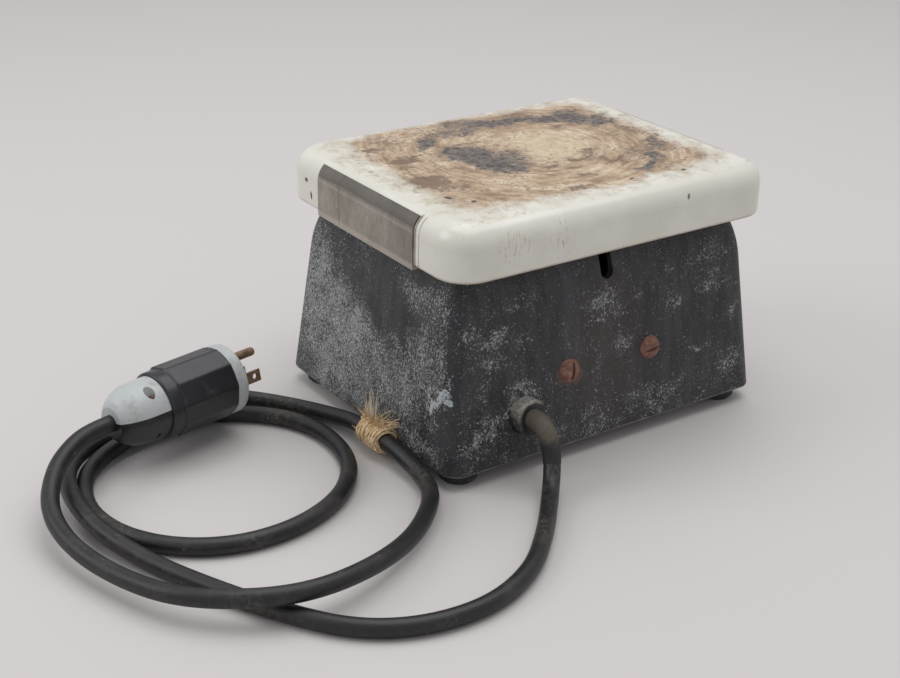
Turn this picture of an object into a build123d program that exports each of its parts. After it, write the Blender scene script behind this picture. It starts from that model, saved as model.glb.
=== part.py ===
from build123d import *
from math import atan, cos, degrees, radians, sin, sqrt, tan
import os

# A bench hotplate with a magnetic stirrer. Millimetres, +Z up, z = 0 on the table.
# +Y is the back, where the cord leaves, -Y is the front with the two controls, +X is one end.
# The model is built about the casing's middle. It is moved along Y at the end, so that the origin
# is under the middle of the whole box, knobs and cord gland included.

# Casing: a cast box that narrows upwards and curls in under the cap
casing_foot_half_x = 104.9
casing_foot_half_y = 83.6
casing_end_taper = 0.085
casing_side_taper = 0.131
casing_bottom_z = 8.0
casing_waist_z = 85.2
casing_top_z = 112.2
casing_end_curl = 7.84
casing_side_curl = 9.09
casing_flank = casing_waist_z - casing_bottom_z
casing_top_half_x = casing_foot_half_x - casing_end_taper * casing_flank - casing_end_curl
casing_top_half_y = casing_foot_half_y - casing_side_taper * casing_flank - casing_side_curl
casing_corner_radius = 10.0
casing_wall = 4.0
casing_lip_radius = 1.2
slot_width = 8.0
slot_bottom_z = 92.2
corner_pad_length = 24.0
corner_pad_height = 22.0
top_boss_length = 15.0
top_boss_height = 16.0

# Cap: the white skirted top that carries the vessel
cap_length = 208.0
cap_width = 166.5
cap_height = 28.5
cap_corner_radius = 18.0
cap_edge_radius = 11.5
cap_lip_radius = 2.0
cap_wall = 5.0

# Steel panels clipped round the skirt at both ends
panel_width = 92.8
panel_thickness = 1.6
panel_recess = 1.0
panel_side_gap = 0.4
panel_seat_gap = 0.1
panel_wrap_angle = 50.0
panel_return = 8.0

# Pan, insulation and heater inside the cap
pan_sheet = 1.2
pan_gap = 0.3
pan_height = 15.0
pad_thickness = 10.0
slab_gap = 0.3
pan_screw_inset = 10.5
pan_screw_x = casing_top_half_x - pan_screw_inset
pan_screw_y = casing_top_half_y - pan_screw_inset
pan_screw_diameter = 4.0
pan_screw_head_radius = 3.6
pan_screw_head_height = 2.4
pan_screw_length = 12.0
slab_corner_radius = 8.0
coil_diameter = 4.0
coil_gap = 0.3
coil_pitch = 17.0
coil_turns = 8
coil_half_run = 74.0

# Bottom plate, feet and their screws
plate_thickness = 1.5
plate_recess = 2.0
plate_gap = 0.4
vent_width = 4.0
vent_length = 44.0
vent_pitch = 10.0
vent_count = 7
vent_offset_x = 52.0
foot_radius = 10.0
foot_inset = 15.2
foot_x = casing_foot_half_x - foot_inset
foot_y = casing_foot_half_y - foot_inset
foot_counterbore_radius = 5.0
foot_floor = 5.0
foot_screw_diameter = 4.0
foot_screw_head_radius = 3.8
foot_screw_head_height = 2.6
foot_screw_length = 19.0
screw_hole_gap = 0.2

# Screws and bracket on the back wall
back_screw_x = 27.5
back_screw_z = 48.7
back_screw_diameter = 5.0
back_screw_head_radius = 6.5
back_screw_head_height = 4.2
back_screw_slot_width = 1.8
back_screw_slot_depth = 2.0
back_screw_angles = (78.0, 8.0)
back_nut_across_flats = 8.0
back_nut_height = 4.0
bracket_sheet = 2.0
bracket_width = 70.0
bracket_top_z = 62.0
bracket_shelf_z = 31.0
bracket_shelf_reach = 34.0
bracket_shaft_hole = 8.0

# Motor and stirring magnet, on the vertical axis through the middle
shaft_diameter = 5.0
running_gap = 0.05
stator_height = 22.0
stator_half_width = 28.0
stator_front = 26.0
stator_leg_x = 42.0
stator_leg_width = 12.0
stator_window_half = 15.0
rotor_radius = 15.0
rotor_air_gap = 0.5
coil_former_wall = 9.0
bridge_width = 12.0
bridge_sheet = 2.5
bridge_height = 10.0
bridge_leg = 7.0
bearing_radius = 5.0
bearing_length = 7.0
bearing_reach = 2.0
motor_screw_diameter = 4.0
motor_screw_y = 24.5
motor_screw_head_radius = 3.5
motor_screw_head_height = 2.5
motor_nut_height = 3.2
motor_nut_across_flats = 7.0
fan_radius = 28.0
fan_hub_radius = 7.0
fan_height = 9.0
fan_blade = 1.5
fan_blades = 6
fan_z = 17.0
magnet_length = 70.0
magnet_width = 14.0
magnet_height = 10.0
magnet_top_gap = 3.5
holder_radius = 18.0
holder_height = 6.0
press_gap = 0.03

# Controls on the front wall
control_z = 48.0
control_inset = 56.9
heat_x = control_inset - casing_foot_half_x
stir_x = casing_foot_half_x - control_inset
control_shaft_diameter = 6.35
control_bushing_diameter = 9.5
control_hole_gap = 0.2
control_nut_across_flats = 14.0
control_nut_height = 2.4
heat_switch_width = 34.0
heat_switch_height = 30.0
heat_switch_depth = 24.0
rheostat_radius = 15.0
rheostat_depth = 14.0
knob_gap = 1.0
knob_skirt_radius = 19.0
knob_skirt_height = 4.0
knob_grip_radius = 14.0
knob_height = 18.0
knob_recess_radius = 10.5
knob_recess_depth = 5.0
knob_flutes = 12
knob_flute_radius = 2.2
knob_pointer_width = 2.4
lamp_lens_radius = 6.0
lamp_lens_height = 4.0
lamp_flange_radius = 8.0
lamp_flange_height = 1.5
lamp_stem_radius = 5.0
lamp_body_radius = 8.0
lamp_body_length = 18.0

# Cord gland, terminal block and supply lead
gland_inset = 47.4
gland_x = casing_foot_half_x - gland_inset
gland_z = 32.3
gland_radius = 9.8
gland_half_width = 8.3
gland_height = 8.0
gland_neck_radius = 7.2
gland_inner_length = 7.0
cord_diameter = 9.0
cord_hole_gap = 0.1
block_length = 44.0
block_width = 16.0
block_height = 27.0
block_face_y = 46.0
lead_bend_radius = 22.0

# Plug: its nose face, axis and turn about the axis, as it lies on the cord
plug_nose_at = (163.3, -45.9, 28.9)
plug_axis_heading = -167.3
plug_turn = -13.2
plug_body_radius = 19.6
plug_body_length = 35.0
plug_sides = 10
plug_nose_radius = 19.2
plug_nose_height = 7.0
plug_collar_radius = 18.2
plug_collar_length = 7.0
plug_clamp_radius = 16.6
plug_clamp_length = 26.0
plug_clamp_mouth_radius = 8.5
plug_split = 0.3
blade_width = 6.35
blade_thickness = 1.5
blade_length = 17.5
blade_spacing = 12.7
blade_hole_radius = 1.6
ground_pin_radius = 2.4
ground_pin_root_radius = 3.3
ground_pin_nose = 1.8
ground_pin_length = 20.5
ground_pin_offset = 11.9
ground_pin_from_axis = 8.8
prong_root = 6.0
clamp_screw_radius = 2.6
clamp_screw_offset = 11.5
clamp_screw_head = 3.0
clamp_seat = 6.0
clamp_shank_radius = 1.5
clamp_shank_length = 8.0

# Twine tied round the cord
tie_outer_radius = 7.2
tie_length = 15.0
tie_gap = 0.3

# The cord's route, chosen by hand: out of the gland, round the front of the end, under its own last
# loop, round the small loop, then round the large loop into the plug
cord_route = [
    (57.7, 98.4, 32.0),
    (57.5, 102.0, 27.2),
    (57.0, 104.0, 19.5),
    (59.2, 107.6, 11.8),
    (64.6, 113.8, 6.4),
    (73.0, 123.6, 4.6),
    (89.0, 141.6, 4.6),
    (113.0, 164.0, 4.6),
    (144.0, 177.5, 4.6),
    (178.0, 176.0, 4.6),
    (206.0, 161.5, 4.6),
    (225.5, 135.0, 4.6),
    (243.0, 102.0, 4.6),
    (259.0, 67.0, 5.2),
    (269.8, 35.0, 8.2),
    (272.0, 5.5, 10.8),
    (266.0, -21.5, 10.8),
    (250.0, -46.0, 7.6),
    (226.0, -60.0, 4.6),
    (198.5, -63.5, 4.6),
    (172.0, -55.5, 4.6),
    (147.5, -41.5, 4.6),
    (131.0, -18.5, 4.6),
    (127.5, 10.5, 4.6),
    (136.0, 40.0, 4.6),
    (158.0, 63.0, 4.6),
    (188.5, 74.5, 4.6),
    (219.5, 73.0, 4.6),
    (245.5, 58.0, 4.6),
    (262.0, 33.0, 4.6),
    (265.5, 4.0, 4.6),
    (256.5, -23.0, 4.6),
    (240.0, -41.0, 4.6),
    (219.8, -50.4, 5.2),
    (199.5, -57.6, 14.4),
    (176.0, -64.4, 13.8),
    (152.2, -60.9, 8.0),
    (130.8, -45.4, 4.6),
    (117.8, -20.0, 6.0),
    (112.6, 8.0, 11.0),
    (111.7, 40.0, 11.2),
    (111.0, 69.0, 6.4),
    (120.0, 91.0, 7.4),
    (146.0, 114.8, 7.5),
    (177.3, 131.8, 11.7),
    (211.6, 139.0, 14.7),
    (238.1, 131.6, 15.0),
    (264.1, 109.5, 12.6),
    (277.9, 79.9, 10.2),
    (287.8, 44.8, 10.8),
    (287.8, 13.8, 15.0),
    (276.0, -8.6, 22.4),
    (261.3, -20.8, 27.0),
]
tie_run = 41
gland_exit_run = 5.0
plug_entry_run = 13.0
cord_arc_share = 0.45

# Values that follow from the sizes above
cap_bottom_z = casing_top_z
cap_top_z = cap_bottom_z + cap_height
end_lean = atan(casing_end_taper)
side_lean = atan(casing_side_taper)
side_wall_normal = casing_wall * cos(side_lean)
plate_bottom_z = casing_bottom_z + plate_recess
plate_top_z = plate_bottom_z + plate_thickness
pan_floor_top_z = cap_bottom_z + pan_sheet
pad_top_z = pan_floor_top_z + pad_thickness
cap_ceiling_z = cap_top_z - cap_wall
shelf_top_z = bracket_shelf_z + bracket_sheet
stator_bottom_z = shelf_top_z + bridge_height
stator_top_z = stator_bottom_z + stator_height
bridge_top_z = stator_top_z + bridge_height
magnet_top_z = cap_bottom_z - magnet_top_gap
magnet_bottom_z = magnet_top_z - magnet_height
holder_bottom_z = magnet_bottom_z - holder_height
shaft_top_z = magnet_bottom_z - 1.0
shaft_bottom_z = fan_z - 1.0
plug_collar_z = -plug_nose_height - plug_body_length
plug_clamp_z = plug_collar_z - plug_collar_length
plug_rear_z = plug_clamp_z - plug_clamp_length
BASE = (Align.CENTER, Align.CENTER, Align.MIN)


def tube(radius, bottom, top):
    """Upright cylinder on the local Z axis, from bottom to top."""
    return Pos(0, 0, bottom) * Cylinder(radius, top - bottom, align=BASE)


def box(width, depth, bottom, top):
    """Box centred on the local Z axis, from bottom to top."""
    return Pos(0, 0, bottom) * Box(width, depth, top - bottom, align=BASE)


def hex_prism(across_flats, bottom, top):
    """Hexagonal prism on the local Z axis."""
    return Pos(0, 0, bottom) * extrude(RegularPolygon(across_flats / sqrt(3), 6), top - bottom)


def side_half_y(z):
    """Distance of the casing's front and back faces from its middle, at a height on the flat part."""
    return casing_foot_half_y - casing_side_taper * (z - casing_bottom_z)


def front_place(x, z):
    """Place on the front face, local Z outwards and local Y up."""
    lean = (0, -cos(side_lean), sin(side_lean))
    return Plane(origin=(x, -side_half_y(z), z), x_dir=(1, 0, 0), z_dir=lean).location


def back_place(x, z):
    """Place on the back face, local Z outwards and local Y up."""
    lean = (0, cos(side_lean), sin(side_lean))
    return Plane(origin=(x, side_half_y(z), z), x_dir=(-1, 0, 0), z_dir=lean).location


def corners(x, y):
    """The four places at plus and minus x and y."""
    return [Pos(sx * x, sy * y, 0) for sx in (1, -1) for sy in (1, -1)]


def tapered_profile(plane, mirror_plane, foot_half, taper, top_half, inset):
    """Casing outline seen from one side: straight taper, then an arc that curls in to the top."""
    waist_half = foot_half - taper * (casing_waist_z - casing_bottom_z)
    foot = (foot_half - inset, casing_bottom_z)
    waist = (waist_half - inset, casing_waist_z)
    top = (top_half - inset, casing_top_z)
    with BuildSketch(plane) as half:
        with BuildLine():
            side = Line(foot, waist)
            curl = TangentArc(waist, top, tangent=side % 1)
            Line(curl @ 1, (0, casing_top_z))
            Line((0, casing_top_z), (0, casing_bottom_z))
            Line((0, casing_bottom_z), foot)
        make_face()
    return half.sketch + mirror(half.sketch, about=mirror_plane)


def casing_form(inset):
    """Solid form of the casing, inset from its outer faces."""
    ends = tapered_profile(Plane.XZ, Plane.YZ, casing_foot_half_x, casing_end_taper,
                           casing_top_half_x, inset)
    sides = tapered_profile(Plane.YZ, Plane.XZ, casing_foot_half_y, casing_side_taper,
                            casing_top_half_y, inset)
    form = extrude(ends, casing_foot_half_y, both=True) & extrude(sides, casing_foot_half_x, both=True)
    upright = [edge for edge in form.edges() if edge.bounding_box().size.Z > casing_wall]
    return fillet(upright, casing_corner_radius - inset)


def control_hole(place, radius):
    """Drilled hole through the wall, along the local Z axis."""
    return place * tube(radius, -3 * casing_wall, casing_wall)


def casing():
    """Cast casing: thin walls, pads in the lower corners, bosses in the upper ones."""
    outer = casing_form(0)
    lip = outer.faces().sort_by(Axis.Z)[0].edges()
    outer = fillet(lip, casing_lip_radius)
    cavity = casing_form(casing_wall)
    pads = Part()
    for place in corners(casing_foot_half_x, casing_foot_half_y):
        pads += place * box(2 * corner_pad_length, 2 * corner_pad_length, plate_top_z,
                            plate_top_z + corner_pad_height)
    for place in corners(casing_top_half_x, casing_top_half_y):
        pads += place * box(2 * top_boss_length, 2 * top_boss_length, casing_top_z - top_boss_height,
                            casing_top_z)
    body = outer - (cavity - pads)
    body -= pan_screw_holes(pan_floor_top_z - pan_screw_length - 1, casing_top_z + 1)
    for place in corners(foot_x, foot_y):
        body -= place * tube((foot_screw_diameter + screw_hole_gap) / 2, casing_bottom_z,
                             foot_floor + foot_screw_length + 1)
    for x in (-back_screw_x, back_screw_x):
        body -= control_hole(back_place(x, back_screw_z), (back_screw_diameter + screw_hole_gap) / 2)
    body -= control_hole(back_place(gland_x, gland_z), gland_neck_radius + cord_hole_gap)
    for x in (heat_x, stir_x):
        body -= control_hole(front_place(x, control_z), (control_bushing_diameter + control_hole_gap) / 2)
    body -= control_hole(front_place(0, control_z), lamp_stem_radius + cord_hole_gap)
    slot_round_z = slot_bottom_z + slot_width / 2
    slot = Pos(0, casing_top_half_y, slot_round_z) * Rot(90, 0, 0) * Cylinder(slot_width / 2, 10 * casing_wall)
    slot += Pos(0, casing_top_half_y, slot_round_z) * Box(
        slot_width, 10 * casing_wall, 2 * (casing_top_z - slot_round_z), align=BASE)
    return body - slot


def rounded_block(length, width, corner, edge, bottom, top):
    """Block with rounded corners in plan and a rounded top edge."""
    block = Pos(0, 0, bottom) * extrude(RectangleRounded(length, width, corner), top - bottom)
    return fillet(block.faces().sort_by(Axis.Z)[-1].edges(), edge)


def wrap_section(outward, inward, low_z):
    """Section of a strip that runs up the skirt's end and over its rounded edge."""
    centre = (cap_length / 2 - cap_edge_radius, cap_top_z - cap_edge_radius)
    with BuildSketch(Plane.XZ) as section:
        with BuildLine():
            outer = CenterArc(centre, cap_edge_radius + outward, 0, panel_wrap_angle)
            inner = CenterArc(centre, cap_edge_radius - inward, 0, panel_wrap_angle)
            Line(outer @ 1, inner @ 1)
            Line(outer @ 0, ((outer @ 0).X, low_z))
            Line(((outer @ 0).X, low_z), ((inner @ 0).X, low_z))
            Line(((inner @ 0).X, low_z), inner @ 0)
        make_face()
    return section.sketch


def cap():
    """Skirted cap: a thick shell with a shallow recess at each end for the steel panel."""
    shell = rounded_block(cap_length, cap_width, cap_corner_radius, cap_edge_radius, cap_bottom_z, cap_top_z)
    shell = fillet(shell.faces().sort_by(Axis.Z)[0].edges(), cap_lip_radius)
    shell -= rounded_block(cap_length - 2 * cap_wall, cap_width - 2 * cap_wall, cap_corner_radius - cap_wall,
                           cap_edge_radius - cap_wall, cap_bottom_z - 1, cap_ceiling_z)
    recess = extrude(wrap_section(cap_edge_radius, panel_recess, cap_bottom_z - 1),
                     panel_width / 2 + panel_side_gap, both=True)
    return shell - recess - mirror(recess, about=Plane.YZ)


def end_panel():
    """Bent steel panel for the +X end, hooked under the skirt."""
    proud = panel_thickness - panel_recess
    hook_top_z = cap_bottom_z - panel_seat_gap
    hook_bottom_z = hook_top_z - panel_thickness
    skin = extrude(wrap_section(proud, panel_recess - panel_seat_gap, hook_bottom_z),
                   panel_width / 2, both=True)
    outer_x = cap_length / 2 + proud
    hook = Pos(outer_x, 0, hook_bottom_z) * Box(
        panel_return + panel_thickness, panel_width, panel_thickness,
        align=(Align.MAX, Align.CENTER, Align.MIN))
    return skin + hook


def pan():
    """Pressed pan that rests on the casing's rim and lines the cap."""
    length = cap_length - 2 * (cap_wall + pan_gap)
    width = cap_width - 2 * (cap_wall + pan_gap)
    corner = cap_corner_radius - cap_wall - pan_gap
    outside = RectangleRounded(length, width, corner)
    inside = RectangleRounded(length - 2 * pan_sheet, width - 2 * pan_sheet, corner - pan_sheet)
    shell = Pos(0, 0, cap_bottom_z) * extrude(outside, pan_height)
    shell -= Pos(0, 0, pan_floor_top_z) * extrude(inside, pan_height)
    return shell - pan_screw_holes(cap_bottom_z - 1, pan_floor_top_z + 1)


def insulation_pad():
    """Soft insulation that fills the pan's floor."""
    less = 2 * (cap_wall + 2 * pan_gap + pan_sheet)
    corner = cap_corner_radius - less / 2
    outline = RectangleRounded(cap_length - less, cap_width - less, corner)
    pad = Pos(0, 0, pan_floor_top_z) * extrude(outline, pad_thickness)
    for place in corners(pan_screw_x, pan_screw_y):
        pad -= place * tube(pan_screw_head_radius + pan_gap, pan_floor_top_z - 1,
                            pan_floor_top_z + pan_screw_head_height + pan_gap)
    return pad


def pan_screws():
    """Screws that hold the pan to the casing's upper bosses."""
    screw = tube(pan_screw_head_radius, pan_floor_top_z, pan_floor_top_z + pan_screw_head_height)
    screw += tube(pan_screw_diameter / 2, pan_floor_top_z - pan_screw_length, pan_floor_top_z)
    return [place * screw for place in corners(pan_screw_x, pan_screw_y)]


def pan_screw_holes(bottom, top):
    """Clearance holes for the pan's screws."""
    hole = tube((pan_screw_diameter + screw_hole_gap) / 2, bottom, top)
    return [place * hole for place in corners(pan_screw_x, pan_screw_y)]


def coil_path(z):
    """Zigzag of the heating coil, with round turns."""
    points = []
    for turn in range(coil_turns):
        y = (turn - (coil_turns - 1) / 2) * coil_pitch
        reach = coil_half_run if turn % 2 == 0 else -coil_half_run
        points.append((-reach, y, z))
        points.append((reach, y, z))
    return FilletPolyline(*points, radius=0.48 * coil_pitch)


def coil_section(z, sketch):
    """Sketch set square to the start of the coil's path."""
    start = (-coil_half_run, -(coil_turns - 1) / 2 * coil_pitch, z)
    return Plane(origin=start, x_dir=(0, 1, 0), z_dir=(1, 0, 0)) * sketch


def heater_slab():
    """Refractory slab under the cap's ceiling, grooved for the coil."""
    less = 2 * (cap_wall + cap_edge_radius - cap_wall)
    outline = RectangleRounded(cap_length - less, cap_width - less, slab_corner_radius)
    slab = Pos(0, 0, pad_top_z) * extrude(outline, cap_ceiling_z - pad_top_z - slab_gap)
    groove = coil_diameter + 2 * coil_gap
    z = cap_ceiling_z - slab_gap - groove / 2
    return slab - sweep(coil_section(z, Rectangle(groove, groove + 0.02)), path=coil_path(z))


def heating_coil():
    """Sheathed heating element laid in the slab's groove."""
    z = cap_ceiling_z - slab_gap - coil_diameter / 2 - coil_gap
    return sweep(coil_section(z, Circle(coil_diameter / 2)), path=coil_path(z))


def bottom_plate():
    """Sheet steel bottom, set into the casing, with rows of vent slots."""
    half_x = casing_foot_half_x - casing_end_taper * plate_recess - casing_wall - plate_gap
    half_y = casing_foot_half_y - casing_side_taper * plate_recess - casing_wall - plate_gap
    corner = casing_corner_radius - casing_wall
    plate = Pos(0, 0, plate_bottom_z) * extrude(RectangleRounded(2 * half_x, 2 * half_y, corner), plate_thickness)
    for side in (-vent_offset_x, vent_offset_x):
        for row in range(vent_count):
            y = (row - (vent_count - 1) / 2) * vent_pitch
            slot = extrude(SlotOverall(vent_length, vent_width), 3 * plate_thickness)
            plate -= Pos(side, y, plate_bottom_z - plate_thickness) * slot
    for place in corners(foot_x, foot_y):
        plate -= place * tube((foot_screw_diameter + screw_hole_gap) / 2, 0, plate_top_z + 1)
    return plate


def foot():
    """Moulded rubber foot with a counterbore for its screw."""
    disc = tube(foot_radius, 0, plate_bottom_z)
    disc = chamfer(disc.edges().sort_by(Axis.Z)[0], 1.5)
    disc -= tube(foot_counterbore_radius, -1, foot_floor)
    return disc - tube((foot_screw_diameter + screw_hole_gap) / 2, 0, plate_bottom_z + 1)


def foot_screws():
    """Pan-head screws up through the feet into the corner pads."""
    head_bottom = foot_floor - foot_screw_head_height
    screw = tube(foot_screw_head_radius, head_bottom, foot_floor)
    screw = fillet(screw.edges().sort_by(Axis.Z)[0], 1.0)
    screw += tube(foot_screw_diameter / 2, foot_floor, foot_floor + foot_screw_length)
    return [place * screw for place in corners(foot_x, foot_y)]


def dome(radius, height, bottom):
    """Low dome of a sphere, standing on the local Z = bottom."""
    sphere_radius = (radius ** 2 + height ** 2) / (2 * height)
    ball = Pos(0, 0, bottom + height - sphere_radius) * Sphere(sphere_radius)
    return ball & tube(1.1 * radius, bottom, bottom + height)


def back_screw(angle):
    """Slotted round-head screw, local Z outwards, head on the wall."""
    head = dome(back_screw_head_radius, back_screw_head_height, 0)
    slot = box(3 * back_screw_head_radius, back_screw_slot_width,
               back_screw_head_height - back_screw_slot_depth, back_screw_head_height + 1)
    depth = side_wall_normal + bracket_sheet + back_nut_height + 2
    return head - Rot(0, 0, angle) * slot + tube(back_screw_diameter / 2, -depth, 0)


def back_screws():
    """The two screws that hold the motor bracket to the back wall."""
    places = (back_place(back_screw_x, back_screw_z), back_place(-back_screw_x, back_screw_z))
    return [place * back_screw(angle) for place, angle in zip(places, back_screw_angles)]


def back_nuts():
    """Nuts on the inside of the bracket."""
    seat = -side_wall_normal - bracket_sheet
    nut = hex_prism(back_nut_across_flats, seat - back_nut_height, seat)
    nut -= tube(back_screw_diameter / 2 + press_gap, seat - back_nut_height - 1, seat + 1)
    return [back_place(x, back_screw_z) * nut for x in (back_screw_x, -back_screw_x)]


def motor_bracket():
    """Bent steel bracket: a flange on the back wall and a shelf for the motor."""
    sheet_along_y = bracket_sheet / cos(side_lean)
    flange_top_y = side_half_y(bracket_top_z) - casing_wall
    shelf_end_y = side_half_y(bracket_shelf_z) - casing_wall
    shelf_top_y = side_half_y(shelf_top_z) - casing_wall - sheet_along_y
    points = [(flange_top_y, bracket_top_z), (shelf_end_y, bracket_shelf_z),
              (-bracket_shelf_reach, bracket_shelf_z), (-bracket_shelf_reach, shelf_top_z),
              (shelf_top_y, shelf_top_z), (flange_top_y - sheet_along_y, bracket_top_z)]
    bracket = extrude(Plane.YZ * make_face(Polyline(*points, close=True)), bracket_width / 2, both=True)
    for x in (-back_screw_x, back_screw_x):
        bracket -= control_hole(back_place(x, back_screw_z), (back_screw_diameter + screw_hole_gap) / 2)
    bracket -= tube(bracket_shaft_hole, bracket_shelf_z - 1, shelf_top_z + 1)
    return bracket - motor_screw_holes(bracket_shelf_z - 1, shelf_top_z + 1)


def motor_screw_holes(bottom, top):
    """The two clearance holes of the motor's long screws."""
    hole = tube((motor_screw_diameter + screw_hole_gap) / 2, bottom, top)
    return Pos(0, motor_screw_y, 0) * hole + Pos(0, -motor_screw_y, 0) * hole


def motor_stator():
    """Laminated frame of the shaded-pole motor, with its bore, window and coil leg."""
    length = stator_front + stator_leg_x + stator_leg_width
    middle = length / 2 - stator_front
    window_start = rotor_radius + rotor_air_gap + 5.0
    window = stator_leg_x - window_start
    frame = Pos(middle, 0, 0) * box(length, 2 * stator_half_width, stator_bottom_z, stator_top_z)
    frame = fillet(frame.edges().filter_by(Axis.Z), 3.0)
    frame -= tube(rotor_radius + rotor_air_gap, stator_bottom_z - 1, stator_top_z + 1)
    frame -= Pos(window_start + window / 2, 0, 0) * box(
        window, 2 * stator_window_half, stator_bottom_z - 1, stator_top_z + 1)
    return frame - motor_screw_holes(stator_bottom_z - 1, stator_top_z + 1)


def motor_coil():
    """Taped winding on the stator's leg."""
    x = stator_leg_x + stator_leg_width / 2
    half_y = stator_window_half - coil_gap
    width = stator_leg_width + 2 * coil_former_wall
    winding = Pos(x, 0, 0) * box(width, 2 * half_y, stator_bottom_z - coil_former_wall,
                                 stator_top_z + coil_former_wall)
    winding = fillet(winding.edges().filter_by(Axis.Y), 4.0)
    return winding - Pos(x, 0, 0) * box(stator_leg_width + 2 * press_gap, 3 * half_y,
                                        stator_bottom_z - press_gap, stator_top_z + press_gap)


def bridge():
    """Strip that carries a bearing across the stator, legs down from z = 0 to the strip on top."""
    half = stator_half_width
    with BuildSketch(Plane.YZ) as outline:
        with BuildLine():
            Polyline((-half, 0), (-half, bridge_height), (half, bridge_height), (half, 0),
                     (half - bridge_leg, 0), (half - bridge_leg, bridge_height - bridge_sheet),
                     (bridge_leg - half, bridge_height - bridge_sheet), (bridge_leg - half, 0), close=True)
        make_face()
    strip = extrude(outline.sketch, bridge_width / 2, both=True)
    strip -= tube(bearing_radius + press_gap, -1, bridge_height + 1)
    return strip - motor_screw_holes(-1, bridge_height + 1)


def bearing():
    """Plain bush with the shaft's running fit, standing on z = 0."""
    bush = tube(bearing_radius, 0, bearing_length)
    return bush - tube(shaft_diameter / 2 + running_gap, -1, bearing_length + 1)


def motor_screws():
    """Two long screws through shelf, bridges and stator."""
    screw = tube(motor_screw_head_radius, bracket_shelf_z - motor_screw_head_height, bracket_shelf_z)
    screw += tube(motor_screw_diameter / 2, bracket_shelf_z, bridge_top_z + motor_nut_height + 1)
    return [Pos(0, y, 0) * screw for y in (motor_screw_y, -motor_screw_y)]


def motor_nuts():
    """Nuts on the upper bridge."""
    nut = hex_prism(motor_nut_across_flats, bridge_top_z, bridge_top_z + motor_nut_height)
    nut -= tube(motor_screw_diameter / 2 + press_gap, bridge_top_z - 1, bridge_top_z + motor_nut_height + 1)
    return [Pos(0, y, 0) * nut for y in (motor_screw_y, -motor_screw_y)]


def on_shaft(solid):
    """A piece pressed on the motor shaft, bored for it."""
    return solid - tube(shaft_diameter / 2 + press_gap, 0, cap_top_z)


def cooling_fan():
    """Six-bladed fan at the foot of the shaft."""
    fan = tube(fan_hub_radius, fan_z, fan_z + fan_height)
    fan += tube(fan_radius, fan_z, fan_z + fan_blade)
    for blade in range(fan_blades):
        fan += Rot(0, 0, blade * 360 / fan_blades) * Pos(fan_radius / 2, 0, 0) * box(
            fan_radius - fan_blade, fan_blade, fan_z, fan_z + fan_height)
    return on_shaft(fan)


def magnet_holder():
    """Turned holder with a channel for the bar magnet."""
    holder = tube(holder_radius, holder_bottom_z, magnet_bottom_z + holder_height / 2)
    holder += tube(fan_hub_radius, holder_bottom_z - holder_height, holder_bottom_z)
    holder -= box(3 * holder_radius, magnet_width, magnet_bottom_z, magnet_top_z)
    return on_shaft(holder)


def bar_magnet():
    """The driving magnet, seated in the holder's channel."""
    magnet = box(magnet_length, magnet_width, magnet_bottom_z, magnet_top_z)
    return chamfer(magnet.edges().filter_by(Axis.Z), 1.0)


def control_body(solid):
    """Threaded bushing added to a control's body, and both bored for the shaft."""
    front = -side_wall_normal
    nut_top = control_nut_height
    whole = solid + tube(control_bushing_diameter / 2, front, nut_top + 1)
    return whole - tube(control_shaft_diameter / 2 + running_gap, front - 10, nut_top + 2)


def heat_switch():
    """Moulded heat switch behind the front wall."""
    case = box(heat_switch_width, heat_switch_height, -side_wall_normal - heat_switch_depth, -side_wall_normal)
    case = fillet(case.edges().filter_by(Axis.Z), 2.0)
    return front_place(heat_x, control_z) * control_body(case)


def stir_rheostat():
    """Round wire-wound speed control behind the front wall."""
    can = tube(rheostat_radius, -side_wall_normal - rheostat_depth, -side_wall_normal)
    can = fillet(can.edges().sort_by(Axis.Z)[0], 1.5)
    return front_place(stir_x, control_z) * control_body(can)


def control_nuts():
    """Hexagon nuts of both controls, on the front face."""
    nut = hex_prism(control_nut_across_flats, 0, control_nut_height)
    nut -= tube(control_bushing_diameter / 2 + press_gap, -1, control_nut_height + 1)
    return [front_place(x, control_z) * nut for x in (heat_x, stir_x)]


def control_shaft():
    """Shaft of a control, from inside its body into the knob."""
    return tube(control_shaft_diameter / 2, -side_wall_normal - 9.5, knob_gap + knob_height - 4)


def knob():
    """Skirted, fluted knob with a raised pointer, hollow underneath for the nut."""
    top = knob_gap + knob_height
    body = tube(knob_skirt_radius, knob_gap, knob_gap + knob_skirt_height)
    body = fillet(body.edges().sort_by(Axis.Z)[-1], 1.5)
    grip = tube(knob_grip_radius, knob_gap, top)
    grip = fillet(grip.edges().sort_by(Axis.Z)[-1], 1.5)
    for flute in range(1, knob_flutes):
        turn = Rot(0, 0, 90 + flute * 360 / knob_flutes)
        grip -= turn * Pos(knob_grip_radius + knob_flute_radius / 2, 0, 0) * tube(
            knob_flute_radius, knob_gap + knob_skirt_height, top + 1)
    body += grip
    pointer_top = knob_gap + knob_skirt_height + 1
    body += Pos(0, (knob_grip_radius + knob_skirt_radius) / 2 - 1, 0) * box(
        knob_pointer_width, knob_skirt_radius - knob_grip_radius, knob_gap + knob_skirt_height / 2, pointer_top)
    body -= tube(knob_recess_radius, knob_gap - 1, knob_gap + knob_recess_depth)
    return body - tube(control_shaft_diameter / 2 + press_gap, 0, top - 3.5)


def pilot_lens():
    """Domed lamp lens with a stem through the front wall."""
    lens = dome(lamp_lens_radius, lamp_lens_height, lamp_flange_height)
    lens += tube(lamp_flange_radius, 0, lamp_flange_height)
    lens += tube(lamp_stem_radius, -side_wall_normal - lamp_body_length / 2, 0)
    return front_place(0, control_z) * lens


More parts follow.
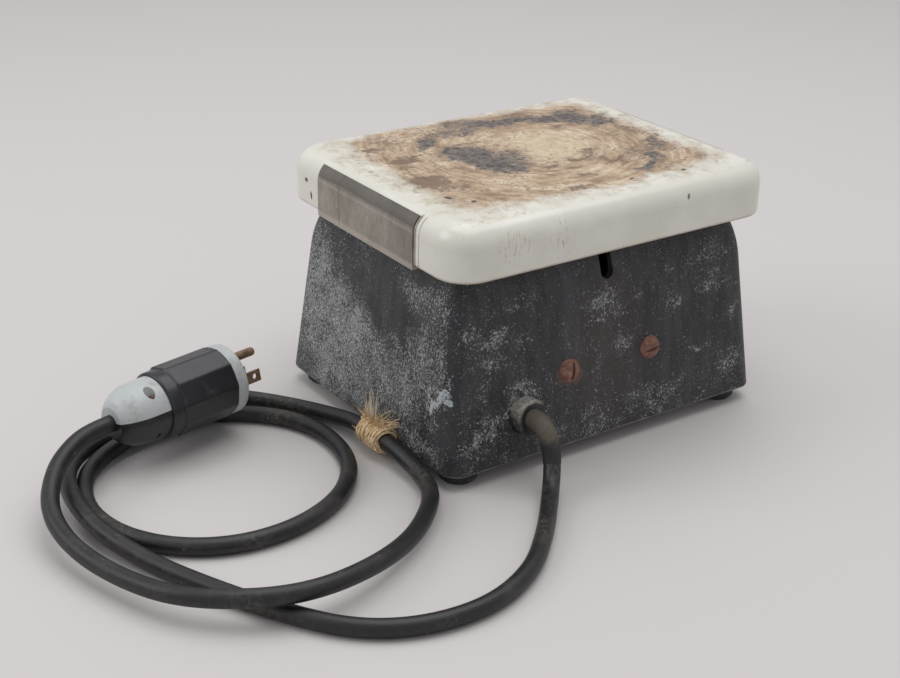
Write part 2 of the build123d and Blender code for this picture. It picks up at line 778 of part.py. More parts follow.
def pilot_lamp():
    """Lamp holder pushed on the lens stem behind the wall."""
    inner = -side_wall_normal
    holder = tube(lamp_body_radius, inner - lamp_body_length, inner)
    holder -= tube(lamp_stem_radius + press_gap, inner - lamp_body_length / 2 - press_gap, inner + 1)
    return front_place(0, control_z) * holder


def gland():
    """Moulded cord bushing: a head with two flats outside, a neck and a ridge inside."""
    head = tube(gland_radius, 0, gland_height) & box(2 * gland_half_width, 3 * gland_radius, 0, gland_height)
    head = chamfer(head.faces().sort_by(Axis.Z)[-1].edges(), 1.0)
    neck = tube(gland_neck_radius, -side_wall_normal - gland_inner_length, 0)
    ridge = tube(gland_neck_radius + 1.4, -side_wall_normal - 3, -side_wall_normal)
    bore = tube(cord_diameter / 2 + cord_hole_gap, -30, gland_height + 1)
    return back_place(gland_x, gland_z) * (head + neck + ridge - bore)


def terminal_block():
    """Barrier terminal block on the bottom plate, where the supply lead ends."""
    block = Pos(gland_x, block_face_y - block_width / 2, 0) * box(
        block_length, block_width, plate_top_z, plate_top_z + block_height)
    for pole in (-1, 0, 1):
        block -= Pos(gland_x + pole * block_length / 3.3, block_face_y - block_width / 2, 0) * box(
            block_length / 5, block_width + 2, plate_top_z + block_height - 5, plate_top_z + block_height + 1)
    return block


def supply_lead():
    """The cord's tail inside: through the gland to the terminal block."""
    place = back_place(gland_x, gland_z)
    start = place * Pos(0, 0, gland_height)
    bend = (place * Pos(0, 0, -22.0)).position
    end = (gland_x, block_face_y, bend.Z)
    path = FilletPolyline(start.position, bend, end, radius=lead_bend_radius)
    section = start * Circle(cord_diameter / 2)
    return sweep(section, path=path)


def route_radii(points):
    """Arc radius at each corner of the cord's route, as large as its two runs allow."""
    radii = []
    for before, corner, after in zip(points, points[1:], points[2:]):
        turn = radians((corner - before).get_angle(after - corner))
        shorter = min((corner - before).length, (after - corner).length)
        radii.append(cord_arc_share * shorter / tan(turn / 2))
    return radii


def cord_points():
    """The route with its ends set on the gland's face and the plug's rear face."""
    start = (back_place(gland_x, gland_z) * Pos(0, 0, gland_height)).position
    second = (back_place(gland_x, gland_z) * Pos(0, 0, gland_height + gland_exit_run)).position
    last = (plug_place() * Pos(0, 0, plug_rear_z - plug_entry_run)).position
    end = (plug_place() * Pos(0, 0, plug_rear_z)).position
    return [start, second] + [Vector(*point) for point in cord_route] + [last, end]


def cord():
    """Supply cord from the gland's face to the plug's rear face: straight runs joined by arcs."""
    points = cord_points()
    radii = route_radii(points)
    path = FilletPolyline(*points, radius=radii)
    section = Plane(origin=points[0], z_dir=points[1] - points[0]) * Circle(cord_diameter / 2)
    print("cord length", round(path.length, 1))
    print("cord runs", [round((after - before).length, 1) for before, after in zip(points, points[1:])])
    print("cord radii", [round(radius, 1) for radius in radii])
    return sweep(section, path=path)


def cord_tie():
    """Turns of twine round the cord beside the casing."""
    points = cord_points()
    before = points[tie_run]
    after = points[tie_run + 1]
    place = Plane(origin=(before + after) / 2, z_dir=after - before).location
    ring = tube(tie_outer_radius, -tie_length / 2, tie_length / 2)
    ring = fillet(ring.edges(), 1.5)
    return place * (ring - tube(cord_diameter / 2 + tie_gap, -tie_length, tie_length))


def plug_place():
    """Place of the plug: local Z out of its nose, local Y towards the ground pin."""
    heading = radians(plug_axis_heading)
    turn = radians(plug_turn)
    axis = Vector(cos(heading), sin(heading), 0)
    level = axis.cross(Vector(0, 0, 1))
    blades = level * cos(turn) - Vector(0, 0, 1) * sin(turn)
    return Plane(origin=plug_nose_at, x_dir=-blades, z_dir=axis).location


def blade_places():
    """Local places of the two blades, off the axis on the side away from the ground pin."""
    y = ground_pin_from_axis - ground_pin_offset
    return [Pos(side * blade_spacing / 2, y, 0) for side in (1, -1)]


def prong_sockets(solid):
    """Slots and bore in a plug piece for the three prongs."""
    for place in blade_places():
        solid -= place * box(blade_thickness + 2 * press_gap, blade_width + 2 * press_gap, -prong_root, 1)
    return solid - Pos(0, ground_pin_from_axis, 0) * tube(ground_pin_root_radius + press_gap, -prong_root, 1)


def plug_nose():
    """White moulded face of the plug that carries the prongs."""
    nose = tube(plug_nose_radius, -plug_nose_height, 0)
    nose = fillet(nose.edges().sort_by(Axis.Z)[-1], 1.2)
    return plug_place() * prong_sockets(nose)


def plug_body():
    """Black grip with flat sides and a round collar behind it."""
    grip = Pos(0, 0, plug_collar_z) * extrude(RegularPolygon(plug_body_radius, plug_sides), plug_body_length)
    grip = fillet(grip.edges().filter_by(Axis.Z), 4.0)
    grip = chamfer(grip.faces().sort_by(Axis.Z)[0].edges(), 1.2)
    collar = tube(plug_collar_radius, plug_clamp_z, plug_collar_z)
    collar = fillet(collar.edges().sort_by(Axis.Z)[0], 1.5)
    return plug_place() * (grip + collar)


def clamp_half(side):
    """One half of the cord clamp, on the local +Y or -Y side of the split."""
    shoulder_z = plug_clamp_z - 0.35 * plug_clamp_length
    with BuildSketch(Plane.XZ) as profile:
        with BuildLine():
            flank = Line((plug_clamp_radius, plug_clamp_z), (plug_clamp_radius, shoulder_z))
            Spline([flank @ 1, (0.88 * plug_clamp_radius, plug_clamp_z - 0.72 * plug_clamp_length),
                    (plug_clamp_mouth_radius, plug_rear_z)], tangents=[(0, -1), (-0.85, -0.53)])
            Polyline((plug_clamp_mouth_radius, plug_rear_z), (0, plug_rear_z), (0, plug_clamp_z),
                     (plug_clamp_radius, plug_clamp_z))
        make_face()
    form = revolve(profile.sketch, Axis.Z)
    keep = Pos(0, side * (plug_split / 2 + plug_clamp_radius), 0) * box(
        4 * plug_clamp_radius, 2 * plug_clamp_radius, plug_rear_z - 1, plug_clamp_z + 1)
    half = form & keep
    for place in clamp_screw_places():
        half -= place * tube(clamp_shank_radius + press_gap, -plug_clamp_radius, plug_clamp_radius)
        half -= place * tube(clamp_screw_radius + screw_hole_gap, clamp_seat, plug_clamp_radius)
    return plug_place() * half


def clamp_screw_places():
    """Local places of the clamp screws: their own Z runs across the split."""
    z = plug_clamp_z - 0.3 * plug_clamp_length
    return [Pos(side * clamp_screw_offset, 0, z) * Rot(-90, 0, 0) for side in (1, -1)]


def plug_clamp_screws():
    """Slotted screws that pull the clamp's halves together."""
    head_top = clamp_seat + clamp_screw_head
    screw = tube(clamp_screw_radius, clamp_seat, head_top)
    screw -= box(3 * clamp_screw_radius, 0.9, head_top - 1.0, head_top + 1)
    screw += tube(clamp_shank_radius, -clamp_shank_length, clamp_seat)
    return [plug_place() * place * screw for place in clamp_screw_places()]


def plug_blades():
    """The two flat blades, each with its hole."""
    blade = box(blade_thickness, blade_width, -prong_root, blade_length)
    blade = chamfer(blade.faces().sort_by(Axis.Z)[-1].edges().filter_by(Axis.Y), 0.5)
    blade -= Pos(0, 0, blade_length - 4.0) * Rot(0, 90, 0) * Cylinder(blade_hole_radius, 3 * blade_thickness)
    return [plug_place() * place * blade for place in blade_places()]


def plug_ground_pin():
    """The round earth pin, with the thicker root that the nose is moulded round."""
    pin = tube(ground_pin_radius, 0, ground_pin_length)
    pin = fillet(pin.edges().sort_by(Axis.Z)[-1], ground_pin_nose)
    pin += tube(ground_pin_root_radius, -prong_root, 0)
    return plug_place() * Pos(0, ground_pin_from_axis, 0) * pin


def build():
    """Every node of the stirrer, in the frame of the casing's middle."""
    stator_place = Pos(0, 0, stator_top_z)
    below = Pos(0, 0, stator_bottom_z) * Rot(180, 0, 0)
    heat_place = front_place(heat_x, control_z)
    stir_place = front_place(stir_x, control_z)
    panel = end_panel()
    nodes = {
        "casing": casing(),
        "top_cap": cap(),
        "end_panel_right": panel,
        "end_panel_left": mirror(panel, about=Plane.YZ),
        "heater_pan": pan(),
        "pan_screws": pan_screws(),
        "insulation_pad": insulation_pad(),
        "heater_slab": heater_slab(),
        "heating_coil": heating_coil(),
        "bottom_plate": bottom_plate(),
        "foot_screws": foot_screws(),
        "back_screws": back_screws(),
        "back_nuts": back_nuts(),
        "motor_bracket": motor_bracket(),
        "motor_stator": motor_stator(),
        "motor_coil": motor_coil(),
        "motor_bridge_lower": below * bridge(),
        "motor_bridge_upper": stator_place * bridge(),
        "bearing_lower": Pos(0, 0, shelf_top_z) * bearing(),
        "bearing_upper": Pos(0, 0, bridge_top_z + bearing_reach - bearing_length) * bearing(),
        "motor_screws": motor_screws(),
        "motor_nuts": motor_nuts(),
        "motor_rotor": on_shaft(tube(rotor_radius, stator_bottom_z, stator_top_z)),
        "motor_shaft": tube(shaft_diameter / 2, shaft_bottom_z, shaft_top_z),
        "cooling_fan": cooling_fan(),
        "magnet_holder": magnet_holder(),
        "bar_magnet": bar_magnet(),
        "heat_switch": heat_switch(),
        "stir_rheostat": stir_rheostat(),
        "control_nuts": control_nuts(),
        "heat_shaft": heat_place * control_shaft(),
        "stir_shaft": stir_place * control_shaft(),
        "heat_knob": heat_place * knob(),
        "stir_knob": stir_place * knob(),
        "pilot_lens": pilot_lens(),
        "pilot_lamp": pilot_lamp(),
        "cord_gland": gland(),
        "supply_lead": supply_lead(),
        "terminal_block": terminal_block(),
        "cord": cord(),
        "cord_tie": cord_tie(),
        "plug_nose": plug_nose(),
        "plug_body": plug_body(),
        "plug_clamp_upper": clamp_half(1),
        "plug_clamp_lower": clamp_half(-1),
        "plug_clamp_screws": plug_clamp_screws(),
        "plug_blades": plug_blades(),
        "plug_ground_pin": plug_ground_pin(),
    }
    sides = {"front": -foot_y, "back": foot_y}
    ends = {"right": foot_x, "left": -foot_x}
    for side, y in sides.items():
        for end, x in ends.items():
            nodes[f"foot_{side}_{end}"] = Pos(x, y, 0) * foot()
    return nodes


def as_shape(node):
    """A node as one shape: a list of like pieces becomes a group."""
    return Compound(node) if isinstance(node, list) else node


def main():
    """Move everything so that the origin is under the middle of the box, and export it."""
    shapes = {name: as_shape(node) for name, node in build().items()}
    own = [shape.bounding_box() for name, shape in shapes.items()
           if not name.startswith("plug_") and name not in ("cord", "cord_tie")]
    shift = -(max(room.max.Y for room in own) + min(room.min.Y for room in own)) / 2
    print("shift along Y", round(shift, 4))
    os.makedirs("parts", exist_ok=True)
    for name, shape in shapes.items():
        moved = shape.moved(Location((0, shift, 0)))
        print(name, len(moved.solids()), round(moved.volume, 1))
        export_step(moved, f"parts/{name}.step")


main()
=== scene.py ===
import bpy
import bmesh
import math
import random
from mathutils import Matrix, Vector


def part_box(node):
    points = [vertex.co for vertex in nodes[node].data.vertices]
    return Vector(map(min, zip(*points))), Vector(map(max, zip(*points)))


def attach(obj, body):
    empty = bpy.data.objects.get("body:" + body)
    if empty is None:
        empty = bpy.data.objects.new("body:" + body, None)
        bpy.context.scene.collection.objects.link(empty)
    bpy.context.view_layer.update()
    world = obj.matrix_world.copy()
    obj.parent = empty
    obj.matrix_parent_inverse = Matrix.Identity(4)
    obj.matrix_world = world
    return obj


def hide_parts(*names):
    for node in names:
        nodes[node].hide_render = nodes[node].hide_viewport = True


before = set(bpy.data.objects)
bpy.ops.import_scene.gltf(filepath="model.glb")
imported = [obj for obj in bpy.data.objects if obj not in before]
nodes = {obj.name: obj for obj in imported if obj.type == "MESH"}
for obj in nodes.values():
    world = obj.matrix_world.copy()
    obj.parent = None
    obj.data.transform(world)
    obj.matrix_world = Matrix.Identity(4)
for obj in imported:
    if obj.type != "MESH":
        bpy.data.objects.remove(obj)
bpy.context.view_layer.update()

scene = bpy.context.scene

# The photographer's place: above the back right corner of the stirrer, looking down at about 25 degrees.
# The lens and the place were solved from the casing's edges.
cap_low, cap_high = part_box("top_cap")
middle_y = (cap_low.y + cap_high.y) / 2
camera = bpy.data.objects.new("photographer", bpy.data.cameras.new("photographer"))
camera.data.sensor_width = 36
camera.data.lens = 61.89
camera.location = (0.49006, 0.63899 + middle_y, 0.39806)
camera.rotation_euler = [math.radians(angle) for angle in (65.335, -0.948, 145.825)]
scene.collection.objects.link(camera)
scene.camera = camera
scene.view_settings.view_transform = "Standard"


# Supply cord: one length of black rubber mains lead, 9 mm thick, lying in two loops on the table.
# It runs out of the bushing, under its own last loop, round the small loop and then round into the plug.
# The jacket is matt and dusty, with rubbed patches.
class Wire:
    """A socket in a finish: sums, products and powers of it add Math nodes."""

    def __init__(self, finish, socket):
        self.finish = finish
        self.socket = socket

    def __getitem__(self, name):
        return Wire(self.finish, self.socket.node.outputs[name])

    def math(self, operation, *others):
        sockets = dict(enumerate((self, *others)))
        return self.finish.node("ShaderNodeMath", {"operation": operation}, sockets)

    def __add__(self, other):
        return self.math("ADD", other)

    def __radd__(self, other):
        return self.math("ADD", other)

    def __sub__(self, other):
        return self.math("SUBTRACT", other)

    def __rsub__(self, other):
        return self.math("MULTIPLY_ADD", -1.0, other)

    def __mul__(self, other):
        return self.math("MULTIPLY", other)

    def __rmul__(self, other):
        return self.math("MULTIPLY", other)

    def __truediv__(self, other):
        return self.math("DIVIDE", other)

    def __pow__(self, other):
        return self.math("POWER", other)

    def __abs__(self):
        return self.math("ABSOLUTE")

    def most(self, other):
        return self.math("MAXIMUM", other)


class Finish:
    """A surface finish: a Principled shader and the nodes that drive it."""

    def __init__(self, name, rough, colour=(0.5, 0.5, 0.5), **constant):
        self.material = bpy.data.materials.new(name)
        self.material.use_nodes = True
        self.tree = self.material.node_tree
        self.shader = self.tree.nodes["Principled BSDF"]
        self.shader.inputs["Base Color"].default_value = (*colour, 1)
        self.shader.inputs["Roughness"].default_value = rough
        for name, value in constant.items():
            self.shader.inputs[name.replace("_", " ").title().replace("Ior", "IOR")].default_value = value
        self.place = self.node("ShaderNodeTexCoord")["Object"]
        apart = self.node("ShaderNodeSeparateXYZ", sockets={0: self.place})
        self.x, self.y, self.z = apart["X"], apart["Y"], apart["Z"]

    def node(self, kind, settings=None, sockets=None):
        made = self.tree.nodes.new(kind)
        settings = dict(settings or {})
        stops = settings.pop("stops", ())
        for name, value in settings.items():
            setattr(made, name, value)
        for _ in stops[2:]:
            made.color_ramp.elements.new(1)
        for element, (place, colour) in zip(made.color_ramp.elements if stops else (), stops):
            element.position = place
            element.color = (*colour, 1)
        for name, value in (sockets or {}).items():
            if isinstance(value, Wire):
                self.tree.links.new(value.socket, made.inputs[name])
            elif isinstance(value, tuple) and len(value) == 3 and len(made.inputs[name].default_value) == 4:
                made.inputs[name].default_value = (*value, 1)
            else:
                made.inputs[name].default_value = value
        return Wire(self, made.outputs[0])

    def noise(self, size, detail=3.0, rough=0.5, place=None, skew=0.0):
        """Noise from 0 to 1 with blotches about `size` metres across."""
        sockets = {"Vector": place or self.place, "Scale": 1 / size, "Detail": detail, "Roughness": rough,
                   "Distortion": skew}
        return self.node("ShaderNodeTexNoise", sockets=sockets)

    def rise(self, value, low, high):
        """0 below low, 1 above high, smooth between."""
        return self.node("ShaderNodeMapRange", {"interpolation_type": "SMOOTHSTEP"},
                         {0: value, 1: low, 2: high})

    def blend(self, share, first, second):
        """Colour going from the first to the second with the share."""
        return self.node("ShaderNodeMix", {"data_type": "RGBA"}, {0: share, 6: first, 7: second})[2]

    def stretch(self, x, y, z):
        """Places scaled by axis, for noise that is longer one way."""
        return self.node("ShaderNodeVectorMath", {"operation": "MULTIPLY"}, {0: self.place, 1: (x, y, z)})

    def warp(self, place, size, reach):
        """Places pushed about by up to `reach` metres, to make edges ragged."""
        push = self.node("ShaderNodeTexNoise", sockets={
            "Vector": place, "Scale": 1 / size, "Detail": 3.0})["Color"]
        moved = self.node("ShaderNodeVectorMath", {"operation": "MULTIPLY_ADD"}, {
            0: push, 1: (4 * reach, 4 * reach, 0), 2: place})
        return self.node("ShaderNodeVectorMath", {"operation": "SUBTRACT"}, {
            0: moved, 1: (2 * reach, 2 * reach, 0)})

    def spot(self, place, across, up, half, other, turn, soft):
        """1 inside an ellipse in the plane of `place`, in millimetres and degrees, falling to 0 at its edge."""
        local = self.node("ShaderNodeMapping", {"vector_type": "TEXTURE"}, {
            "Vector": place, "Location": (across / 1000, up / 1000, 0), "Rotation": (0, 0, math.radians(turn)),
            "Scale": (half / 1000, other / 1000, 1)})
        reach = self.node("ShaderNodeVectorMath", {"operation": "LENGTH"}, {0: local})["Value"]
        return self.rise(reach, 1 + soft, 1 - soft)

    def bump(self, height, depth):
        """Relief of the given depth in metres where height goes from 0 to 1."""
        relief = self.node("ShaderNodeBump", sockets={"Strength": 1.0, "Distance": depth, "Height": height})
        self.tree.links.new(relief.socket, self.shader.inputs["Normal"])
        return relief

    def drive(self, name, value):
        self.tree.links.new(value.socket, self.shader.inputs[name])


def cord_rubber_finish():
    finish = Finish("cord_rubber", rough=0.5)
    dust = finish.rise(finish.noise(0.02, 6, 0.7), 0.46, 0.8)
    rubbed = finish.rise(finish.noise(0.05, 4, 0.6), 0.47, 0.66)
    rubbed = rubbed * finish.rise(finish.noise(0.0026, 5, 0.75), 0.42, 0.66)
    nicks = finish.rise(finish.noise(0.0036, 5, 0.7), 0.64, 0.72)
    colour = finish.blend(dust * 0.85, (0.01, 0.0095, 0.0105), (0.052, 0.045, 0.039))
    colour = finish.blend(rubbed * 0.6, colour, (0.14, 0.125, 0.1))
    colour = finish.blend(nicks * 0.55, colour, (0.24, 0.22, 0.19))
    finish.drive("Base Color", colour)
    finish.drive("Roughness", 0.42 + dust * 0.25 + rubbed * 0.2)
    finish.bump(finish.noise(0.0011, 4, 0.6), 0.00012)
    return finish.material


cord_width = 0.009
gland_face = Vector((0.0575, 0.088349, 0.033339))
gland_way = Vector((0, 0.991531, 0.12989))
plug_nose = Vector((0.1633, -0.0459, 0.0289))
plug_way = Vector((math.cos(math.radians(-167.3)), math.sin(math.radians(-167.3)), 0))
plug_reach = 0.075
cord_route = [
    (57.7, 98.4, 32), (57.5, 102, 27.2), (57, 104, 19.5), (59.2, 107.6, 11.8), (64.6, 113.8, 6.4),
    (73, 123.6, 4.6), (89, 141.6, 4.6), (113, 164, 4.6), (144, 177.5, 4.6), (178, 176, 4.6),
    (206, 161.5, 4.6), (225.5, 135, 4.6), (243, 102, 4.6), (259, 67, 5.2), (269.8, 35, 8.2),
    (272, 5.5, 10.8), (266, -21.5, 10.8), (250, -46, 7.6), (226, -60, 4.6), (198.5, -63.5, 4.6),
    (172, -55.5, 4.6), (147.5, -41.5, 4.6), (131, -18.5, 4.6), (127.5, 10.5, 4.6), (136, 40, 4.6),
    (158, 63, 4.6), (188.5, 74.5, 4.6), (219.5, 73, 4.6), (245.5, 58, 4.6), (262, 33, 4.6),
    (265.5, 4, 4.6), (256.5, -23, 4.6), (240, -41, 4.6), (219.8, -50.4, 5.2), (199.5, -57.6, 14.4),
    (176, -64.4, 13.8), (152.2, -60.9, 8), (130.8, -45.4, 4.6), (117.8, -20, 6), (112.6, 8, 11),
    (111.7, 40, 11.2), (111, 69, 6.4), (120, 91, 7.4), (146, 114.8, 7.5), (177.3, 131.8, 11.7),
    (211.6, 139, 14.7), (238.1, 131.6, 15), (264.1, 109.5, 12.6), (277.9, 79.9, 10.2), (287.8, 44.8, 10.8),
    (287.8, 13.8, 15), (276, -8.6, 22.4), (261.3, -20.8, 27),
]
shift = Vector((0, middle_y, 0))
cord_line = [gland_face + shift, gland_face + shift + 0.005 * gland_way]
cord_line += [Vector(point) / 1000 + shift for point in cord_route]
cord_line += [plug_nose + shift - (plug_reach + run) * plug_way for run in (0.013, 0)]


def cord_curve(name, points, bevel):
    """Smooth round cord with the points as the control points of its spline."""
    curve = bpy.data.curves.new(name, "CURVE")
    curve.dimensions = "3D"
    curve.resolution_u = 10
    curve.bevel_depth = bevel
    curve.bevel_resolution = 6
    curve.use_fill_caps = True
    spline = curve.splines.new("NURBS")
    spline.points.add(len(points) - 1)
    for control, point in zip(spline.points, points):
        control.co = (*point, 1)
    spline.order_u = 3
    spline.use_endpoint_u = True
    return curve


cord = bpy.data.objects.new("supply_cord", cord_curve("supply_cord", cord_line, cord_width / 2))
scene.collection.objects.link(cord)
cord_rubber = cord_rubber_finish()
cord.data.materials.append(cord_rubber)
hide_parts("cord")
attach(cord, "housing")


def finish_nodes(material, *names):
    """Give CAD nodes their finish."""
    for name in names:
        data = nodes[name].data
        data.materials.clear()
        data.materials.append(material)


# Strain sleeve: a tapered rubber tube pushed over the cord where it leaves the bushing.
# It has weathered to olive grey near the bushing and is still black at its thin end.
def sleeve_finish():
    finish = Finish("sleeve_rubber", rough=0.6)
    paler_share = finish.rise(finish.z + (finish.noise(0.004, 4) - 0.5) * 0.012, 0.0245, 0.0315)
    olive = finish.blend(finish.noise(0.0025, 5, 0.7), (0.04, 0.034, 0.025), (0.15, 0.13, 0.095))
    finish.drive("Base Color", finish.blend(paler_share, (0.018, 0.017, 0.017), olive))
    finish.bump(finish.noise(0.0014, 4, 0.6), 0.00015)
    return finish.material


sleeve_ends = (0.0054, 0.0047)
sleeve_line = cord_line[:5] + [(cord_line[4] + cord_line[5]) / 2]
sleeve_curve = cord_curve("strain_sleeve", sleeve_line, 1)
for step, control in enumerate(sleeve_curve.splines[0].points):
    share = step / (len(sleeve_line) - 1)
    control.radius = sleeve_ends[0] + (sleeve_ends[1] - sleeve_ends[0]) * share
sleeve = bpy.data.objects.new("strain_sleeve", sleeve_curve)
scene.collection.objects.link(sleeve)
sleeve_curve.materials.append(sleeve_finish())
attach(sleeve, "housing")


# Cord bushing: a screwed nylon bushing with two flats that holds the cord in the back wall.
# Its rim is pale and dusty on its upper side towards the end: dust, mixed with a painted highlight.
def gland_finish():
    finish = Finish("gland_nylon", rough=0.5)
    across = finish.x - gland_face.x
    upward = finish.z - gland_face.z
    rim = finish.rise((across * across + upward * upward) ** 0.5, 0.0074, 0.0088)
    # The pale rim: a painted highlight on its upper side towards the end, mixed with dust.
    lit = finish.rise(across * 0.5 + upward * 0.8 + (finish.noise(0.004, 4, 0.6) - 0.5) * 0.01, 0.0005, 0.006)
    paler_share = rim * lit
    dust = finish.rise(finish.noise(0.0014, 5, 0.7), 0.42, 0.62)
    colour = finish.blend(dust * 0.2, (0.012, 0.012, 0.013), (0.09, 0.083, 0.075))
    finish.drive("Base Color", finish.blend(paler_share * (0.5 + dust * 0.5), colour, (0.36, 0.33, 0.29)))
    finish.drive("Roughness", 0.42 + paler_share * 0.4)
    finish.bump(finish.noise(0.0012, 4, 0.6), 0.0002)
    return finish.material


finish_nodes(gland_finish(), "cord_gland")


# Twine: a few turns of jute string tied tight round the cord, with the frayed ends standing up.
# It is dry, straw coloured and fuzzy, and its tallest fibres have bleached to pale cream.
def twine_finish(name, dark, pale, grain):
    finish = Finish(name, rough=0.9)
    strand = finish.noise(grain, 4, 0.7, place=finish.stretch(1, 1, 0.35))
    finish.drive("Base Color", finish.blend(finish.rise(strand, 0.36, 0.64), dark, pale))
    finish.bump(strand, 0.0003)
    return finish.material


tie_start, tie_end = (Vector(point) / 1000 for point in cord_route[39:41])
tie_middle = (tie_start + tie_end) / 2 + shift
tie_axis = (tie_end - tie_start).normalized()
tie_side = tie_axis.cross(Vector((0, 0, 1))).normalized()
tie_up = tie_side.cross(tie_axis)
jute = twine_finish("jute_twine", (0.52, 0.34, 0.16), (0.88, 0.7, 0.46), 0.0008)
bleached = twine_finish("bleached_fibre", (0.7, 0.58, 0.4), (0.9, 0.82, 0.66), 0.002)
# Each turn: start along the cord, length along the cord, turns, radius, first angle, string thickness
twine_turns = [
    (-0.0105, 0.0105, 4.4, 0.0052, 0.4, 0.00084), (-0.001, 0.0115, 4.6, 0.0053, 2.0, 0.00082),
    (-0.0095, 0.0195, 4.2, 0.0061, 1.2, 0.00075), (0.0095, -0.0175, 3.6, 0.0066, 3.3, 0.00075),
    (-0.0065, 0.0105, 3.3, 0.0072, 5.0, 0.00062), (0.0005, 0.0095, 4.3, 0.0069, 4.1, 0.00062),
]
turn_steps = 22
string_wobble = 0.00022


def twine_path(start, length, turns, radius, angle, wobble):
    """Points of a string wound round the cord."""
    chance = random.Random(round(1000 * angle))
    points = []
    for step in range(round(turns * turn_steps)):
        share = step / (turns * turn_steps)
        turned = angle + 2 * math.pi * turns * share
        reach = radius + chance.uniform(-wobble, wobble)
        along = start + length * share + 0.0011 * math.sin(turned + 3 * angle)
        outward = tie_side * math.cos(turned) + tie_up * math.sin(turned)
        points.append(tie_middle + tie_axis * along + outward * reach)
    return points


def mesh_of(curve_object, name):
    """The plain mesh that an object's curve or nodes make."""
    depsgraph = bpy.context.evaluated_depsgraph_get()
    made = bpy.data.meshes.new_from_object(curve_object.evaluated_get(depsgraph))
    made.name = name
    return made


def join_meshes(name, *meshes):
    """One object at the origin from several meshes, each with its own material."""
    work = bmesh.new()
    for slot, mesh in enumerate(meshes):
        first = len(work.faces)
        work.from_mesh(mesh)
        work.faces.ensure_lookup_table()
        for face in work.faces[first:]:
            face.material_index = slot
            face.smooth = True
    joined = bpy.data.meshes.new(name)
    work.to_mesh(joined)
    work.free()
    for mesh in meshes:
        joined.materials.append(mesh.materials[0])
    made = bpy.data.objects.new(name, joined)
    scene.collection.objects.link(made)
    return made


string_curve = bpy.data.curves.new("twine_turns", "CURVE")
string_curve.dimensions = "3D"
string_curve.bevel_depth = 1
string_curve.bevel_resolution = 2
string_curve.resolution_u = 2
string_curve.use_fill_caps = True
string_curve.materials.append(jute)
for start, length, turns, radius, angle, thick in twine_turns:
    line = twine_path(start, length, turns, radius, angle, string_wobble)
    spline = string_curve.splines.new("NURBS")
    spline.points.add(len(line) - 1)
    for control, point in zip(spline.points, line):
        control.co = (*point, 1)
        control.radius = thick
    spline.order_u = 3
    spline.use_endpoint_u = True
string = bpy.data.objects.new("twine_turns", string_curve)
scene.collection.objects.link(string)
string_mesh = mesh_of(string, "twine_turns")
bpy.data.objects.remove(string)


def wire_nodes(group, kind, settings=None, sockets=None):
    """A node of a geometry group, with its settings and its socket values or links."""
    made = group.nodes.new(kind)
    for name, value in (settings or {}).items():
        setattr(made, name, value)
    for name, value in (sockets or {}).items():
        if isinstance(value, bpy.types.NodeSocket):
            group.links.new(value, made.inputs[name])
        else:
            made.inputs[name].default_value = value
    return made


